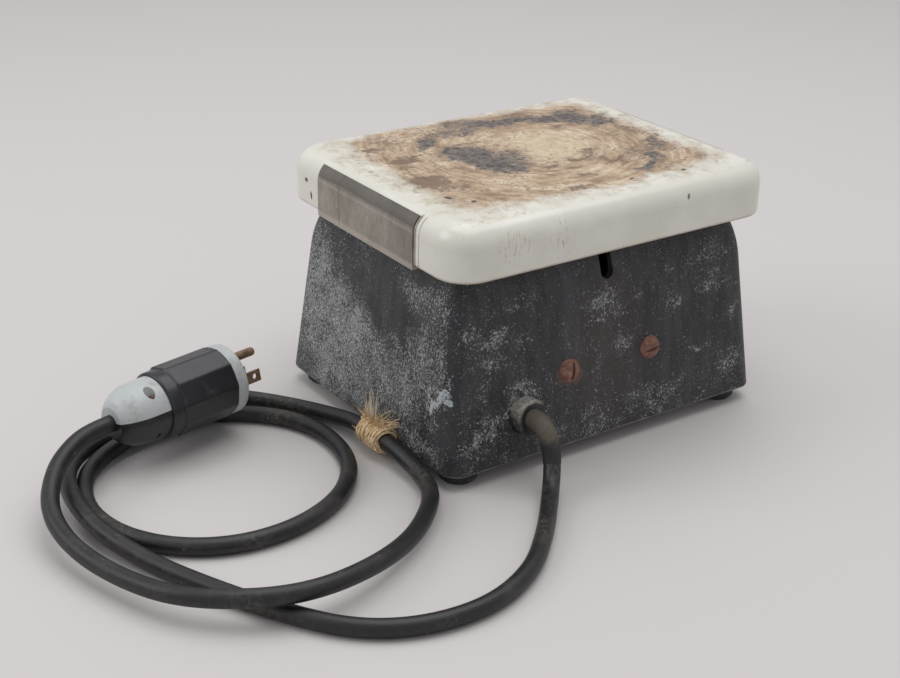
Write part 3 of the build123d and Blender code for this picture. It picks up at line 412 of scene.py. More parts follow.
def fibre_group():
    """Geometry nodes: bent fibres standing on a row of points, each turned and sized at random."""
    group = bpy.data.node_groups.new("frayed_fibres", "GeometryNodeTree")
    inputs = {}
    for name, kind in (("Count", "Int"), ("Row", "Vector"), ("Height", "Float"), ("Bend", "Float"),
                       ("Lean", "Vector"), ("Spread", "Vector"), ("Thickness", "Float"), ("Seed", "Int")):
        inputs[name] = group.interface.new_socket(name, in_out="INPUT", socket_type="NodeSocket" + kind)
    inputs["Material"] = group.interface.new_socket(
        "Material", in_out="INPUT", socket_type="NodeSocketMaterial")
    group.interface.new_socket("Geometry", in_out="OUTPUT", socket_type="NodeSocketGeometry")
    given = group.nodes.new("NodeGroupInput").outputs
    scatter = wire_nodes(group, "FunctionNodeRandomValue", {"data_type": "FLOAT_VECTOR"}, {
        0: (-0.0009, -0.0018, -0.0009), 1: (0.0009, 0.0018, 0.0009), "Seed": given["Seed"]})
    row = wire_nodes(group, "GeometryNodeMeshLine", {"mode": "OFFSET"}, {
        "Count": given["Count"], "Offset": given["Row"]})
    moved = wire_nodes(group, "GeometryNodeSetPosition", None, {
        "Geometry": row.outputs[0], "Offset": scatter.outputs[0]})
    top = wire_nodes(group, "ShaderNodeCombineXYZ", None, {"X": given["Bend"], "Z": given["Height"]})
    half = wire_nodes(group, "ShaderNodeMath", {"operation": "MULTIPLY"}, {0: given["Height"], 1: 0.6})
    knee = wire_nodes(group, "ShaderNodeCombineXYZ", None, {"Z": half.outputs[0]})
    hair = wire_nodes(group, "GeometryNodeCurveQuadraticBezier", None, {
        "Resolution": 7, "Start": (0.0, 0.0, 0.0), "Middle": knee.outputs[0], "End": top.outputs[0]})
    share = wire_nodes(group, "GeometryNodeSplineParameter")
    thin = wire_nodes(group, "ShaderNodeMapRange", None, {
        0: share.outputs["Factor"], 1: 0.0, 2: 1.0, 3: 1.0, 4: 0.25})
    tapered = wire_nodes(group, "GeometryNodeSetCurveRadius", None, {
        0: hair.outputs[0], "Radius": thin.outputs[0]})
    ring = wire_nodes(group, "GeometryNodeCurvePrimitiveCircle", {"mode": "RADIUS"}, {
        "Resolution": 5, "Radius": given["Thickness"]})
    solid = wire_nodes(group, "GeometryNodeCurveToMesh", None, {
        "Curve": tapered.outputs[0], "Profile Curve": ring.outputs[0], "Fill Caps": True})
    if "Scale" in solid.inputs:
        group.links.new(thin.outputs[0], solid.inputs["Scale"])
    low = wire_nodes(group, "ShaderNodeVectorMath", {"operation": "SUBTRACT"}, {
        0: given["Lean"], 1: given["Spread"]})
    high = wire_nodes(group, "ShaderNodeVectorMath", {"operation": "ADD"}, {
        0: given["Lean"], 1: given["Spread"]})
    turned = wire_nodes(group, "FunctionNodeRandomValue", {"data_type": "FLOAT_VECTOR"}, {
        0: low.outputs[0], 1: high.outputs[0], "Seed": given["Seed"]})
    sized = wire_nodes(group, "FunctionNodeRandomValue", {"data_type": "FLOAT"}, {
        2: 0.45, 3: 1.0, "Seed": given["Seed"]})
    placed = wire_nodes(group, "GeometryNodeInstanceOnPoints", None, {
        "Points": moved.outputs[0], "Instance": solid.outputs[0], "Rotation": turned.outputs[0],
        "Scale": sized.outputs[1]})
    real = wire_nodes(group, "GeometryNodeRealizeInstances", None, {0: placed.outputs[0]})
    painted = wire_nodes(group, "GeometryNodeSetMaterial", None, {
        0: real.outputs[0], "Material": given["Material"]})
    wire_nodes(group, "NodeGroupOutput", None, {0: painted.outputs[0]})
    return group, {name: socket.identifier for name, socket in inputs.items()}


fibres, fibre_input = fibre_group()


def fibre_tuft(name, start, material, **values):
    """A tuft of fibres from the geometry group, as a plain mesh."""
    holder = bpy.data.objects.new(name, bpy.data.meshes.new(name))
    scene.collection.objects.link(holder)
    modifier = holder.modifiers.new("fibres", "NODES")
    modifier.node_group = fibres
    modifier[fibre_input["Material"]] = material
    for key, value in values.items():
        modifier[fibre_input[key]] = value
    tuft = mesh_of(holder, name)
    tuft.materials.clear()
    tuft.materials.append(material)
    tuft.transform(Matrix.Translation(start))
    holder.modifiers.remove(modifier)
    bpy.data.objects.remove(holder)
    return tuft


crest = tie_middle + tie_up * 0.0052
tufts = [
    fibre_tuft("tall_fibres", crest - tie_axis * 0.006, bleached, Count=24, Row=(0.0, 0.0002, 0.0),
               Height=0.0195, Bend=0.0018, Lean=(0.1, -0.04, 0.0), Spread=(0.2, 0.12, 3.1),
               Thickness=0.00036, Seed=3),
    fibre_tuft("short_fibres", crest - tie_axis * 0.0105, jute, Count=110, Row=(0.0, 0.00018, 0.0),
               Height=0.0085, Bend=0.003, Lean=(0.2, 0.0, 0.0), Spread=(0.6, 0.6, 3.1),
               Thickness=0.00034, Seed=11),
    fibre_tuft("curled_fibres", crest - tie_axis * 0.001, jute, Count=26, Row=(0.0, 0.0004, 0.0),
               Height=0.009, Bend=0.01, Lean=(-0.7, -0.1, 1.8), Spread=(0.3, 0.35, 0.5),
               Thickness=0.0004, Seed=5),
    fibre_tuft("outer_fuzz", tie_middle - tie_axis * 0.0105 + tie_side * 0.005, jute, Count=110,
               Row=(0.0, 0.0002, 0.0), Height=0.0042, Bend=0.0024, Lean=(0.2, 1.0, 0.0), Spread=(1.6, 0.9, 3.1),
               Thickness=0.00022, Seed=8),
]
tie = join_meshes("twine_tie", string_mesh, *tufts)
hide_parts("cord_tie")
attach(tie, "housing")


# Cap: a pressed and enamelled steel plate with a deep skirt, glazed cream white.
# Years of heat and spills have burnt its top tan, with dark crusts, and left the border nearly clean.
def white_glaze_finish():
    finish = Finish("white_glaze", rough=0.3)
    out = finish.y - middle_y
    flat = finish.node("ShaderNodeCombineXYZ", sockets={"X": finish.x, "Y": out, "Z": 0.0})
    ragged = finish.warp(finish.warp(flat, 0.03, 0.006), 0.006, 0.0032)
    apart = finish.node("ShaderNodeSeparateXYZ", sockets={0: ragged})
    long, wide = apart["X"], apart["Y"]
    grain = finish.noise(0.0026, 6, 0.72)
    cloud = finish.noise(0.021, 5, 0.6)
    mottle = finish.noise(0.009, 6, 0.7)

    # Scrubbing marks run round the middle of the plate, and the tan burn stops short of the border.
    around = finish.node("ShaderNodeVectorMath", {"operation": "SUBTRACT"}, {0: flat, 1: (-0.008, -0.007, 0)})
    reach = finish.node("ShaderNodeVectorMath", {"operation": "LENGTH"}, {0: around})["Value"]
    heading = finish.node("ShaderNodeVectorMath", {"operation": "NORMALIZE"}, {0: around})
    heading = finish.node("ShaderNodeSeparateXYZ", sockets={0: heading})
    swirl = finish.node("ShaderNodeCombineXYZ", sockets={
        "X": reach, "Y": heading["X"] * 0.009, "Z": heading["Y"] * 0.009})
    swirl = finish.noise(0.0034, 5, 0.65, place=swirl)
    square = (abs(long + 0.0005) / 0.083) ** 6 + (abs(wide + 0.003) / 0.0685) ** 6
    burnt = finish.rise(square + (mottle - 0.5) * 1.6, 1.3, 0.55)
    edge_dirt = finish.rise(square + (grain - 0.5) * 3.0, 3.4, 0.7)

    cream = finish.blend(finish.rise(cloud, 0.4, 0.62), (0.69, 0.66, 0.575), (0.75, 0.725, 0.65))
    cream = finish.blend(edge_dirt * finish.rise(mottle, 0.4, 0.6) * 0.85, cream, (0.5, 0.425, 0.31))
    cream = finish.blend(edge_dirt * finish.rise(grain, 0.56, 0.7) * 0.6, cream, (0.27, 0.185, 0.115))
    tan = finish.node("ShaderNodeValToRGB", {"stops": [
        (0.38, (0.15, 0.088, 0.053)), (0.445, (0.3, 0.198, 0.124)), (0.5, (0.455, 0.325, 0.212)),
        (0.555, (0.6, 0.47, 0.335)), (0.63, (0.72, 0.64, 0.515))]},
        {0: cloud * 0.28 + mottle * 0.3 + swirl * 0.42})
    tan = finish.blend(finish.rise(grain + mottle * 0.6, 0.8, 0.98) * 0.7, tan, (0.24, 0.15, 0.09))
    tan = finish.blend(finish.rise(grain + mottle * 0.4, 0.62, 0.5) * 0.3, tan, (0.66, 0.58, 0.46))
    middle = finish.spot(ragged, -16, -3, 27, 22, 15, 0.6)
    tan = finish.blend(middle * (0.35 + swirl * 0.5), tan, (0.62, 0.53, 0.365))
    colour = finish.blend(burnt, cream, tan)

    # Brown stains: middle in x and y, half lengths, turn in degrees, strength
    stain = 0.0
    for x, y, half, other, turn, strength in (
            (66, -25, 9, 6, 0, 1.15), (71, 15, 10, 10, 0, 1.1), (71, -14, 6, 7, 0, 0.75),
            (72, -45, 4, 3, 0, 1.0), (57, -48, 9, 6, 0, 0.6), (-29, 16, 9, 4, 15, 0.85),
            (-18, 21, 9, 2.5, 8, 0.8), (3, 24, 7, 2.5, 5, 0.8), (-2, 47, 6, 2.5, 0, 0.85),
            (10, 60, 8, 3, 0, 0.7), (-44, -30, 5, 3, 0, 0.7), (18, -31, 6, 3, 0, 0.7),
            (56, -3, 4, 19, 0, 0.35), (-50, 56, 13, 5, 25, 0.55), (-73, -3, 6, 12, 0, 0.7),
            (-77, 12, 6, 12, 0, 0.55), (-70, 27, 12, 9, 0, 0.7), (-54, 30, 9, 10, 0, 0.7),
            (-36, -62, 12, 6, 0, 0.7), (40, -60, 22, 6, 0, 0.45), (61, 29, 5, 3, 30, 0.7),
            (56, 41, 3, 2, 0, 0.6), (-45, 0, 9, 5, 0, 0.35), (35, 33, 20, 5, -20, 0.3),
            (39, 54, 10, 4, 20, 0.35), (-10, -30, 20, 5, 0, 0.25), (-30, -45, 26, 9, 10, 0.3)):
        mark = finish.spot(ragged, x, y, half * 1.15, other * 1.15, turn, 0.75) * strength
        stain = mark.most(stain)
    rough = (grain - 0.5) * 1.9 + (mottle - 0.5) * 1.3 + (swirl - 0.5) * 1.2
    stained = finish.rise(stain + rough, 0.26, 0.86)
    colour = finish.blend(stained * 0.88, colour, (0.15, 0.094, 0.058))

    # Dark crusts, as above
    crust = 0.0
    for x, y, half, other, turn, strength in (
            (31, -13, 13, 17, 15, 1.0), (27, 7, 11, 15, 0, 1.0), (15, 2, 12, 11, 0, 0.8),
            (20, 17, 10, 6, 0, 0.9), (43, -15, 6, 4, -20, 0.85), (3, -62, 16, 7, 0, 0.72),
            (10, -49, 16, 7, -10, 0.68), (-10, -56, 13, 6, 10, 0.8), (-27, -52, 17, 7, 5, 0.9),
            (-46, -47, 11, 7, 15, 0.95), (-63, -41, 9, 14, 15, 1.0), (-71, -26, 13, 6, 40, 0.9),
            (-78, -20, 7, 4, 30, 0.8), (-44, 49, 11, 3.6, 33, 0.95), (-55, 38, 7, 4, 20, 0.75),
            (37, -42, 13, 5, 37, 0.8), (30, -50, 9, 5, 20, 0.65), (-30, 15, 5, 2.5, 20, 0.6),
            (18, 22, 6, 3, 10, 0.8), (-60, -6, 4, 2, 0, 0.3), (-72, 22, 8, 5, 0, 0.6),
            (44, -35, 7, 3, 30, 0.6)):
        mark = finish.spot(ragged, x, y, half * 1.1, other * 1.1, turn, 0.62) * strength
        crust = mark.most(crust)
    charred = finish.rise(crust + rough * 0.85, 0.34, 0.86)
    halo = finish.rise(crust + rough, 0.12, 0.5)
    ash = finish.rise(finish.noise(0.004, 6, 0.75), 0.36, 0.64)
    char = finish.blend(ash, (0.036, 0.03, 0.031), (0.17, 0.15, 0.14))
    colour = finish.blend(halo * 0.55, colour, (0.22, 0.145, 0.095))
    colour = finish.blend(charred * 0.95, colour, char)

    # Fine black specks along the clean edge of the burn, and a few chips through the glaze
    specks = finish.noise(0.0017, 2, 0.5, place=flat)
    speckled = finish.spot(ragged, 79, 8, 4, 16, 0, 0.5).most(finish.spot(ragged, 60, -45, 20, 14, 0, 0.5) * 0.8)
    speckled = speckled.most(burnt * 0.45)
    speck = finish.rise(specks + speckled * 0.13, 0.755, 0.79)
    level = finish.rise(finish.z, cap_high.z - 0.002, cap_high.z - 0.0008)
    colour = finish.blend(speck * level, colour, (0.05, 0.035, 0.028))
    chips = 0.0
    for x, y, half, other in ((-53, 66, 1.6, 1.2), (78, 38, 1.4, 2.6), (70, 49, 1.6, 1.4), (-20, 63, 2, 0.8)):
        chips = finish.spot(flat, x, y, half, other, 20, 0.5).most(chips)

    # The skirt: clean glaze, warmer along its lower edge, with a few brown runs on the back and chips on the end
    skirt_tone = finish.rise(finish.noise(0.03, 4), 0.4, 0.65)
    skirt_mix = finish.blend(skirt_tone, (0.7, 0.68, 0.6), (0.755, 0.735, 0.665))
    back = finish.node("ShaderNodeCombineXYZ", sockets={"X": finish.x, "Y": finish.z, "Z": 0.0})
    runs = finish.noise(0.0013, 4, 0.65, place=finish.stretch(1, 0.2, 0.14))
    area = finish.spot(back, 69, 128, 9, 10, 0, 0.5).most(finish.spot(back, 41, 129, 7, 9, 0, 0.5) * 0.8)
    behind = finish.rise(out, 0.07, 0.076)
    run = finish.rise(runs + area * behind * 0.11, 0.64, 0.74) * finish.rise(grain, 0.4, 0.56)
    skirt_mix = finish.blend(run * 0.6, skirt_mix, (0.3, 0.2, 0.11))
    skirt_mix = finish.blend(area * behind * finish.rise(mottle, 0.45, 0.7) * 0.3, skirt_mix, (0.6, 0.52, 0.38))
    warm = finish.rise(finish.z + (mottle - 0.5) * 0.002, cap_low.z + 0.0022, cap_low.z + 0.0006)
    skirt_mix = finish.blend(warm * 0.55, skirt_mix, (0.34, 0.24, 0.14))
    end = finish.node("ShaderNodeCombineXYZ", sockets={"X": out, "Y": finish.z, "Z": 0.0})
    end_chips = finish.spot(end, -59.6, 126.5, 1.5, 1.2, 0, 0.4)
    end_chips = end_chips.most(finish.spot(end, -54.6, 119, 0.9, 2.2, 10, 0.4))
    end_chips = end_chips * finish.rise(finish.x, 0.09, 0.095)
    tick = finish.spot(back, -42.6, 132.7, 0.8, 1.5, 20, 0.4) * behind
    panel_dirt = finish.rise(abs(out - 0.0478) + (mottle - 0.5) * 0.002, 0.0013, 0.0004)
    panel_line = finish.rise(abs(out - 0.0512) + (mottle - 0.5) * 0.002, 0.0008, 0.0002) * 0.6
    lines = panel_dirt.most(panel_line) * finish.rise(finish.x, 0.098, 0.1)
    skirt_mix = finish.blend(lines * 0.75, skirt_mix, (0.13, 0.085, 0.045))
    chips = chips * level
    chips = chips.most(end_chips).most(tick * 0.8)
    top_share = finish.rise(finish.z, cap_high.z - 0.0016, cap_high.z - 0.0004)
    colour = finish.blend(top_share, skirt_mix, colour)
    colour = finish.blend(chips, colour, (0.03, 0.026, 0.024))
    finish.drive("Base Color", colour)
    matt = (burnt * 0.28).most(charred * 0.45).most(stained * 0.35) * top_share
    finish.drive("Roughness", 0.22 + matt)
    finish.bump(grain * (top_share * 0.8 + 0.02) + finish.noise(0.009, 2) * 0.06, 0.0003)
    return finish.material


finish_nodes(white_glaze_finish(), "top_cap")


# End panels: bare sheet steel sprung round the cap's skirt at both ends, folded over the top edge.
# They have dulled to a warm grey with faint runs down them.
def bare_steel_finish():
    finish = Finish("bare_steel", rough=0.42, metallic=0.55)
    out = finish.y - middle_y
    runs = finish.noise(0.004, 5, 0.62, place=finish.stretch(1, 1, 0.16))
    fine = finish.noise(0.0012, 4, 0.7, place=finish.stretch(1, 1, 0.3))
    stain = finish.noise(0.02, 5, 0.65)
    colour = finish.node("ShaderNodeValToRGB", {"stops": [
        (0.34, (0.2, 0.17, 0.14)), (0.5, (0.33, 0.295, 0.255)), (0.64, (0.45, 0.41, 0.36))]},
        {0: runs * 0.22 + stain * 0.5 + fine * 0.28})
    # Painted shade: the panel is darker towards its back side.
    shade = finish.rise(out + (stain - 0.5) * 0.02, 0.014, 0.04)
    colour = finish.blend(shade * 0.42, colour, (0.2, 0.17, 0.145))
    strip = finish.rise(finish.z + (stain - 0.5) * 0.003, 0.1315, 0.1335)
    colour = finish.blend(strip * 0.75, colour, (0.11, 0.1, 0.09))
    # Painted highlight: a thin bright line along the bend just below the top fold.
    fold_highlight = finish.rise(abs(finish.z - 0.1305) + (stain - 0.5) * 0.001, 0.0009, 0.0003)
    colour = finish.blend(fold_highlight * 0.2, colour, (0.62, 0.58, 0.52))
    seam = finish.rise(abs(out + 0.0245 + (runs - 0.5) * 0.003), 0.0008, 0.0002)
    colour = finish.blend(seam * 0.5, colour, (0.12, 0.09, 0.07))
    foot = finish.rise(finish.z, 0.1145, 0.1128)
    colour = finish.blend(foot * 0.5, colour, (0.55, 0.5, 0.44))
    finish.drive("Base Color", colour)
    finish.drive("Roughness", 0.36 + stain * 0.25)
    finish.bump(runs * 0.6 + fine * 0.4, 0.00006)
    return finish.material


finish_nodes(bare_steel_finish(), "end_panel_right", "end_panel_left")


# Casing: one aluminium casting, painted charcoal, open below and curling in under the cap.
# Spray and wear have left pale flecks all over its ends and in patches over its long sides.
def casing_paint_finish():
    finish = Finish("casing_paint", rough=0.5)
    out = finish.y - middle_y
    foot_height, end_half, end_slope, side_half, side_slope = 0.008, 0.1049, 0.085, 0.0836, 0.131
    flank = finish.z - foot_height
    past_end = abs(finish.x) - end_half + flank * end_slope
    past_side = abs(out) - side_half + flank * side_slope
    on_end = finish.rise(past_end - past_side, -0.0015, 0.0015)
    corner = finish.rise(past_end, -0.0075, -0.002) * finish.rise(past_side, -0.0075, -0.002)
    cloud = finish.noise(0.017, 4, 0.65)
    streak = finish.noise(0.006, 5, 0.65, place=finish.stretch(1, 1, 0.14))
    fine = finish.noise(0.0012, 5, 0.8)
    grit = finish.noise(0.0006, 3, 0.7)

    # Patches of flecks on the back: middle in x and z, half lengths, turn in degrees, strength
    back = finish.node("ShaderNodeCombineXYZ", sockets={"X": finish.x, "Y": finish.z, "Z": 0.0})
    back = finish.warp(finish.warp(back, 0.02, 0.006), 0.006, 0.003)
    patches = 0.0
    for x, z, half, other, turn, strength in (
            (88, 79, 8, 7, 0, 0.8), (75, 74, 10, 6, 0, 0.75), (84, 65, 12, 4, 8, 0.65),
            (54, 73, 8, 8, 0, 0.5), (56, 44, 12, 6, 0, 1.0), (66, 35, 5, 12, 0, 0.9),
            (79, 53, 7, 6, 0, 0.6), (73, 27, 9, 9, 0, 0.8), (92, 28, 12, 17, 0, 0.95),
            (46, 30, 5, 9, 0, 0.8), (40, 47, 5, 7, 0, 0.4), (4, 79, 13, 7, 0, 0.7),
            (7, 69, 4, 2, 0, 1.0), (31, 71, 3, 6, 0, 0.8), (-15, 84, 9, 6, 0, 0.45),
            (-38, 71, 12, 4, 0, 0.5), (-49, 70.5, 4, 1.5, 0, 1.0), (-73, 78, 11, 7, 0, 0.75),
            (-87, 59, 3, 7, 0, 0.7), (-64, 43, 10, 3, 10, 0.9), (-9, 57, 5, 12, 0, 0.65),
            (9, 42, 3, 12, 0, 0.5), (10, 22, 22, 6, 0, 0.8), (-30, 20, 26, 7, 0, 0.65),
            (45, 18, 24, 6, 0, 0.6), (-87, 22, 8, 12, 0, 0.7), (-62, 25, 12, 5, 0, 0.3),
            (-37, 36, 5, 5, 0, 0.55), (60, 92, 14, 5, 0, 0.4), (-75, 92, 16, 5, 0, 0.4),
            (20, 90, 6, 5, 0, 0.35), (0, 14, 95, 4, 0, 0.55)):
        patches = (finish.spot(back, x, z, half, other, turn, 0.7) * strength).most(patches)
    seen_back = finish.rise(out, -0.01, 0.01)
    side_density = patches * seen_back + (1 - seen_back) * finish.rise(cloud, 0.48, 0.68) * 0.75
    side_density = side_density * (0.3 + finish.rise(cloud, 0.38, 0.62) * 0.7) + 0.02

    # The end is flecked nearly all over, but for a smoother patch under the cap
    end = finish.node("ShaderNodeCombineXYZ", sockets={"X": out, "Y": finish.z, "Z": 0.0})
    end = finish.warp(end, 0.014, 0.006)
    dense = 0.0
    for y, z, half, other, turn, strength in (
            (-35, 45, 45, 40, 0, 1.0), (10, 35, 45, 32, 0, 0.85), (-60, 65, 20, 38, 0, 1.0),
            (55, 60, 18, 30, 0, 0.75), (45, 92, 22, 9, 0, 0.65), (-25, 52, 22, 12, 0, 1.1),
            (-58, 47, 12, 9, 0, 1.15), (0, 16, 80, 7, 0, 0.8)):
        dense = (finish.spot(end, y, z, half, other, turn, 0.6) * strength).most(dense)
    smooth_patch = finish.spot(end, 2, 82, 34, 14, -8, 0.5) * 0.8
    end_density = (dense - smooth_patch * 0.75) * 0.75 + (cloud - 0.5) * 1.3 + 0.2
    end_density = end_density * finish.rise(out, 0.08, 0.066)
    density = (on_end * end_density + (1 - on_end) * side_density) * (1 - corner * 0.85)
    lace = 1 - abs(finish.noise(0.0042, 4, 0.75) - 0.5) * 9
    fleck = finish.rise(fine + density * 0.16 + (grit - 0.5) * 0.1 + lace * density * 0.045, 0.615, 0.68)
    bold = finish.rise(fine + density * 0.13, 0.67, 0.74)

    paint = finish.blend(finish.rise(streak, 0.38, 0.62), (0.0145, 0.0135, 0.0165), (0.035, 0.0325, 0.036))
    brown = finish.spot(back, 3, 52, 22, 40, 0, 0.8) * seen_back * (1 - on_end)
    paint = finish.blend(brown * 0.45, paint, (0.062, 0.045, 0.04))
    band = finish.rise(abs(finish.x - 0.0245), 0.0062, 0.0045) * finish.rise(finish.z, 0.052, 0.064) * seen_back
    paint = finish.blend(band * 0.25, paint, (0.08, 0.081, 0.09))
    paint = finish.blend(finish.rise(cloud * 0.6 + fine * 0.4, 0.5, 0.7) * 0.4, paint, (0.085, 0.082, 0.086))
    edge = corner * finish.rise(finish.z, 0.02, 0.04)
    paint = finish.blend(edge * 0.6, paint, (0.022, 0.022, 0.025))
    pale = finish.blend(finish.noise(0.003, 3), (0.17, 0.174, 0.175), (0.46, 0.47, 0.465))
    colour = finish.blend(fleck * 0.85, paint, pale)
    colour = finish.blend(bold * 0.8, colour, (0.6, 0.61, 0.59))

    # A hooked white scrape near the back corner of the end, rust round a screw, bare metal on the bottom rim
    scrape = 0.0
    for y, z, half, other, turn, strength in (
            (63, 41, 5.5, 2.6, 30, 1.0), (68, 46, 2.4, 5, -25, 0.9), (57.5, 47, 0.8, 7, 8, 0.75),
            (72, 57, 0.7, 8, -8, 0.6)):
        scrape = (finish.spot(end, y, z, half, other, turn, 0.5) * strength).most(scrape)
    scrape = scrape * finish.rise(finish.x, 0.08, 0.085) * on_end
    scraped = finish.rise(scrape * 0.8 + (fine - 0.5) * 3.0 + (cloud - 0.5), 0.3, 0.8)
    colour = finish.blend(scraped * 0.85, colour, (0.5, 0.55, 0.57))
    rust = finish.spot(back, 27.5, 48.7, 8.6, 8.6, 0, 0.35) * seen_back
    rust = finish.rise(rust + (fine - 0.5) * 2.4, 0.4, 1.1)
    colour = finish.blend(rust * 0.5, colour, (0.16, 0.085, 0.045))
    rim = finish.rise(finish.z + (cloud - 0.5) * 0.0022, 0.0094, 0.0085)
    colour = finish.blend(rim * 0.55, colour, (0.35, 0.33, 0.3))
    finish.drive("Base Color", colour)
    finish.drive("Roughness", 0.44 + fleck * 0.3 + cloud * 0.1)
    finish.bump(fine * 0.8 + grit * 0.2, 0.00016)
    return finish.material


finish_nodes(casing_paint_finish(), "casing")


# Back screws: round-head slotted screws that hold the motor's bracket, rusted to a reddish brown.
# The plug's clamp screws are of the same steel and as old.
def rust_finish():
    finish = Finish("rusted_steel", rough=0.85)
    bloom = finish.noise(0.0022, 5, 0.7)
    colour = finish.node("ShaderNodeValToRGB", {"stops": [
        (0.3, (0.085, 0.04, 0.03)), (0.5, (0.22, 0.105, 0.075)), (0.68, (0.36, 0.2, 0.155))]}, {0: bloom})
    finish.drive("Base Color", colour)
    finish.drive("Roughness", 0.6 + bloom * 0.4)
    finish.bump(finish.noise(0.0008, 4, 0.7), 0.00022)
    return finish.material


rust = rust_finish()
finish_nodes(rust, "back_screws", "plug_clamp_screws")


# Plug: a grounded plug with a white moulded nose, a black grip with flat sides and a cord clamp in two
# halves, white above and black below. The white is grimy in its corners, the black is polished by hands.
def plug_white_finish():
    finish = Finish("plug_white", rough=0.4)
    grime = finish.rise(finish.noise(0.009, 6, 0.72), 0.5, 0.74)
    scratch = finish.rise(finish.noise(0.0012, 4, 0.7, place=finish.stretch(1, 1, 0.3)), 0.62, 0.7)
    colour = finish.blend(grime * 0.55, (0.47, 0.49, 0.485), (0.27, 0.26, 0.235))
    finish.drive("Base Color", finish.blend(scratch * 0.6, colour, (0.16, 0.15, 0.14)))
    finish.drive("Roughness", 0.36 + grime * 0.3)
    finish.bump(finish.noise(0.002, 4), 0.00008)
    return finish.material


def plug_black_finish():
    finish = Finish("plug_black", rough=0.35)
    paler_share = finish.rise(finish.noise(0.012, 6, 0.7), 0.52, 0.75)
    scuff = finish.rise(finish.noise(0.0014, 5, 0.75), 0.6, 0.72)
    colour = finish.blend(paler_share * 0.5, (0.017, 0.0165, 0.02), (0.05, 0.048, 0.052))
    finish.drive("Base Color", finish.blend(scuff * paler_share * 0.6, colour, (0.2, 0.2, 0.2)))
    finish.drive("Roughness", 0.3 + paler_share * 0.25)
    finish.bump(finish.noise(0.0015, 4), 0.00006)
    return finish.material


def prong_finish():
    finish = Finish("prong_brass", rough=0.5, metallic=0.45)
    tarnish = finish.noise(0.004, 6, 0.7)
    colour = finish.node("ShaderNodeValToRGB", {"stops": [
        (0.3, (0.11, 0.06, 0.038)), (0.5, (0.24, 0.15, 0.095)), (0.7, (0.36, 0.25, 0.165))]}, {0: tarnish})
    finish.drive("Base Color", colour)
    finish.drive("Roughness", 0.38 + tarnish * 0.3)
    return finish.material


finish_nodes(plug_white_finish(), "plug_nose", "plug_clamp_upper")
finish_nodes(plug_black_finish(), "plug_body", "plug_clamp_lower")
finish_nodes(prong_finish(), "plug_blades", "plug_ground_pin")


# Feet and bottom: four turned rubber feet, each screwed up into a boss through the bottom sheet.
# The sheet is zinc-plated steel and the rubber is dusty.
def foot_rubber_finish():
    finish = Finish("foot_rubber", rough=0.7)
    dust = finish.rise(finish.noise(0.006, 5, 0.7), 0.45, 0.7)
    finish.drive("Base Color", finish.blend(dust, (0.018, 0.018, 0.018), (0.055, 0.052, 0.05)))
    finish.bump(finish.noise(0.001, 4), 0.0001)
    return finish.material


def grained_finish(name, dark, pale, rough, metallic, size, stretch=(1, 1, 1), depth=0.00004):
    """A finish of two colours mixed by grain, for pieces of plain stock."""
    finish = Finish(name, rough=rough, metallic=metallic)
    grain = finish.noise(size, 5, 0.65, place=finish.stretch(*stretch))
    finish.drive("Base Color", finish.blend(finish.rise(grain, 0.35, 0.65), dark, pale))
    finish.drive("Roughness", rough - 0.08 + grain * 0.16)
    finish.bump(grain, depth)
    return finish.material


zinc = grained_finish("plate_steel", (0.34, 0.345, 0.35), (0.52, 0.52, 0.51), 0.42, 0.85, 0.012)
screw_steel = grained_finish("screw_steel", (0.3, 0.3, 0.3), (0.48, 0.48, 0.49), 0.38, 0.9, 0.002)
finish_nodes(foot_rubber_finish(), "foot_front_right", "foot_front_left", "foot_back_right", "foot_back_left")
finish_nodes(zinc, "bottom_plate", "motor_bracket", "motor_bridge_lower", "motor_bridge_upper")
finish_nodes(screw_steel, "foot_screws", "pan_screws", "back_nuts", "motor_screws", "motor_nuts",
             "control_nuts")


# Controls: two moulded black knobs on steel shafts, and a red pilot lens, on the front wall.
# Each knob has a white line filled into its pointer.
def knob_finish(name, axle):
    finish = Finish(name, rough=0.38)
    black = finish.blend(finish.noise(0.01, 5, 0.7), (0.014, 0.014, 0.015), (0.035, 0.034, 0.034))
    line = finish.rise(abs(finish.x - axle.x), 0.0009, 0.0006) * finish.rise(finish.z - axle.z, 0.0122, 0.013)
    finish.drive("Base Color", finish.blend(line * 0.9, black, (0.75, 0.74, 0.7)))
    finish.drive("Roughness", 0.3 + finish.noise(0.006, 5, 0.7) * 0.25)
    finish.bump(finish.noise(0.0016, 4), 0.00005)
    return finish.material


for knob in ("heat_knob", "stir_knob"):
    low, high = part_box(knob)
    finish_nodes(knob_finish(knob + "_plastic", (low + high) / 2), knob)
moulding = grained_finish("black_plastic", (0.014, 0.014, 0.015), (0.034, 0.033, 0.033), 0.42, 0.0, 0.006)
finish_nodes(moulding, "heat_switch", "stir_rheostat", "pilot_lamp", "terminal_block")
shaft_steel = grained_finish("shaft_steel", (0.42, 0.42, 0.43), (0.6, 0.6, 0.6), 0.25, 1.0, 0.004)
finish_nodes(shaft_steel, "heat_shaft", "stir_shaft", "motor_shaft")
lens = Finish("red_lens", rough=0.12, transmission_weight=0.4, ior=1.49)
lens.drive("Base Color", lens.blend(lens.noise(0.003, 3), (0.5, 0.012, 0.008), (0.65, 0.03, 0.015)))
finish_nodes(lens.material, "pilot_lens")


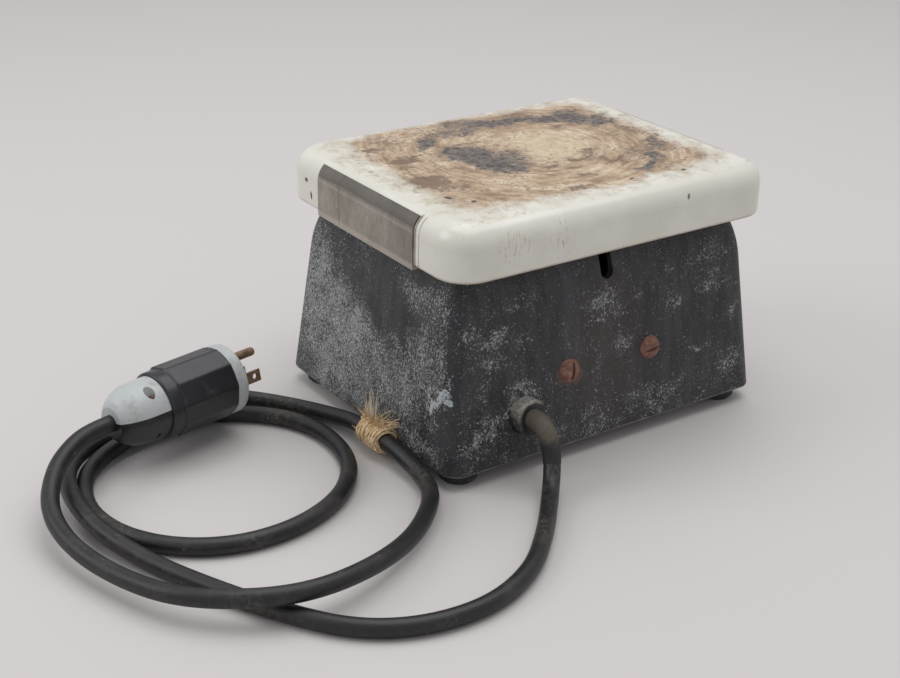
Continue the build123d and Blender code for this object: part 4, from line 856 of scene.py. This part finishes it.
# Inside the cap and casing: heater, motor, magnet and wiring, out of sight in use.
# They have the plain finishes of such parts, from cast refractory to varnished laminations.
aluminium = grained_finish("plain_aluminium", (0.5, 0.5, 0.5), (0.68, 0.68, 0.67), 0.4, 0.9, 0.008)
finish_nodes(aluminium, "heater_pan", "cooling_fan", "magnet_holder")
finish_nodes(grained_finish("insulation", (0.5, 0.48, 0.42), (0.72, 0.7, 0.62), 0.95, 0.0, 0.004, depth=0.0004),
             "insulation_pad")
finish_nodes(grained_finish("refractory", (0.55, 0.5, 0.42), (0.72, 0.68, 0.6), 0.9, 0.0, 0.003, depth=0.0003),
             "heater_slab")
finish_nodes(grained_finish("element_steel", (0.06, 0.055, 0.05), (0.16, 0.15, 0.14), 0.55, 0.6, 0.003),
             "heating_coil")
finish_nodes(grained_finish("core_steel", (0.1, 0.1, 0.11), (0.26, 0.26, 0.27), 0.5, 0.6, 0.0009,
                            stretch=(0.05, 0.05, 1), depth=0.0001), "motor_stator", "motor_rotor")
finish_nodes(grained_finish("coil_tape", (0.4, 0.3, 0.1), (0.6, 0.48, 0.2), 0.6, 0.0, 0.002), "motor_coil")
finish_nodes(grained_finish("bearing_brass", (0.5, 0.35, 0.14), (0.68, 0.5, 0.22), 0.35, 0.9, 0.003),
             "bearing_lower", "bearing_upper")
finish_nodes(grained_finish("magnet_metal", (0.2, 0.2, 0.2), (0.34, 0.33, 0.32), 0.5, 0.7, 0.004), "bar_magnet")
finish_nodes(cord_rubber, "supply_lead")


# Table and backdrop: a pale table with a paler sheet behind it.
table = bpy.data.meshes.new("table")
table.from_pydata([(-6, -6, 0), (6, -6, 0), (6, 6, 0), (-6, 6, 0)], [], [(0, 1, 2, 3)])
table = bpy.data.objects.new("table", table)
scene.collection.objects.link(table)
table_finish = Finish("pale_table", rough=0.6, colour=(0.6, 0.567, 0.553))
table.data.materials.append(table_finish.material)

world = bpy.data.worlds.new("studio")
world.use_nodes = True
world.node_tree.nodes["Background"].inputs["Color"].default_value = (0.95, 0.97, 1.0, 1)
world.node_tree.nodes["Background"].inputs["Strength"].default_value = 0.55
scene.world = world


def soft_lamp(name, place, target, width, height, power):
    lamp = bpy.data.objects.new(name, bpy.data.lights.new(name, "AREA"))
    lamp.data.shape = "RECTANGLE"
    lamp.data.size = width
    lamp.data.size_y = height
    lamp.data.energy = power
    lamp.location = place
    lamp.rotation_euler = (Vector(target) - Vector(place)).to_track_quat("-Z", "Y").to_euler()
    scene.collection.objects.link(lamp)


soft_lamp("ceiling", place=(-0.2, -0.1, 1.6), target=(0.1, 0, 0), width=1.6, height=1.6, power=16)
soft_lamp("window", place=(1.3, -0.6, 1.0), target=(0.1, 0, 0.05), width=1.0, height=0.8, power=6)
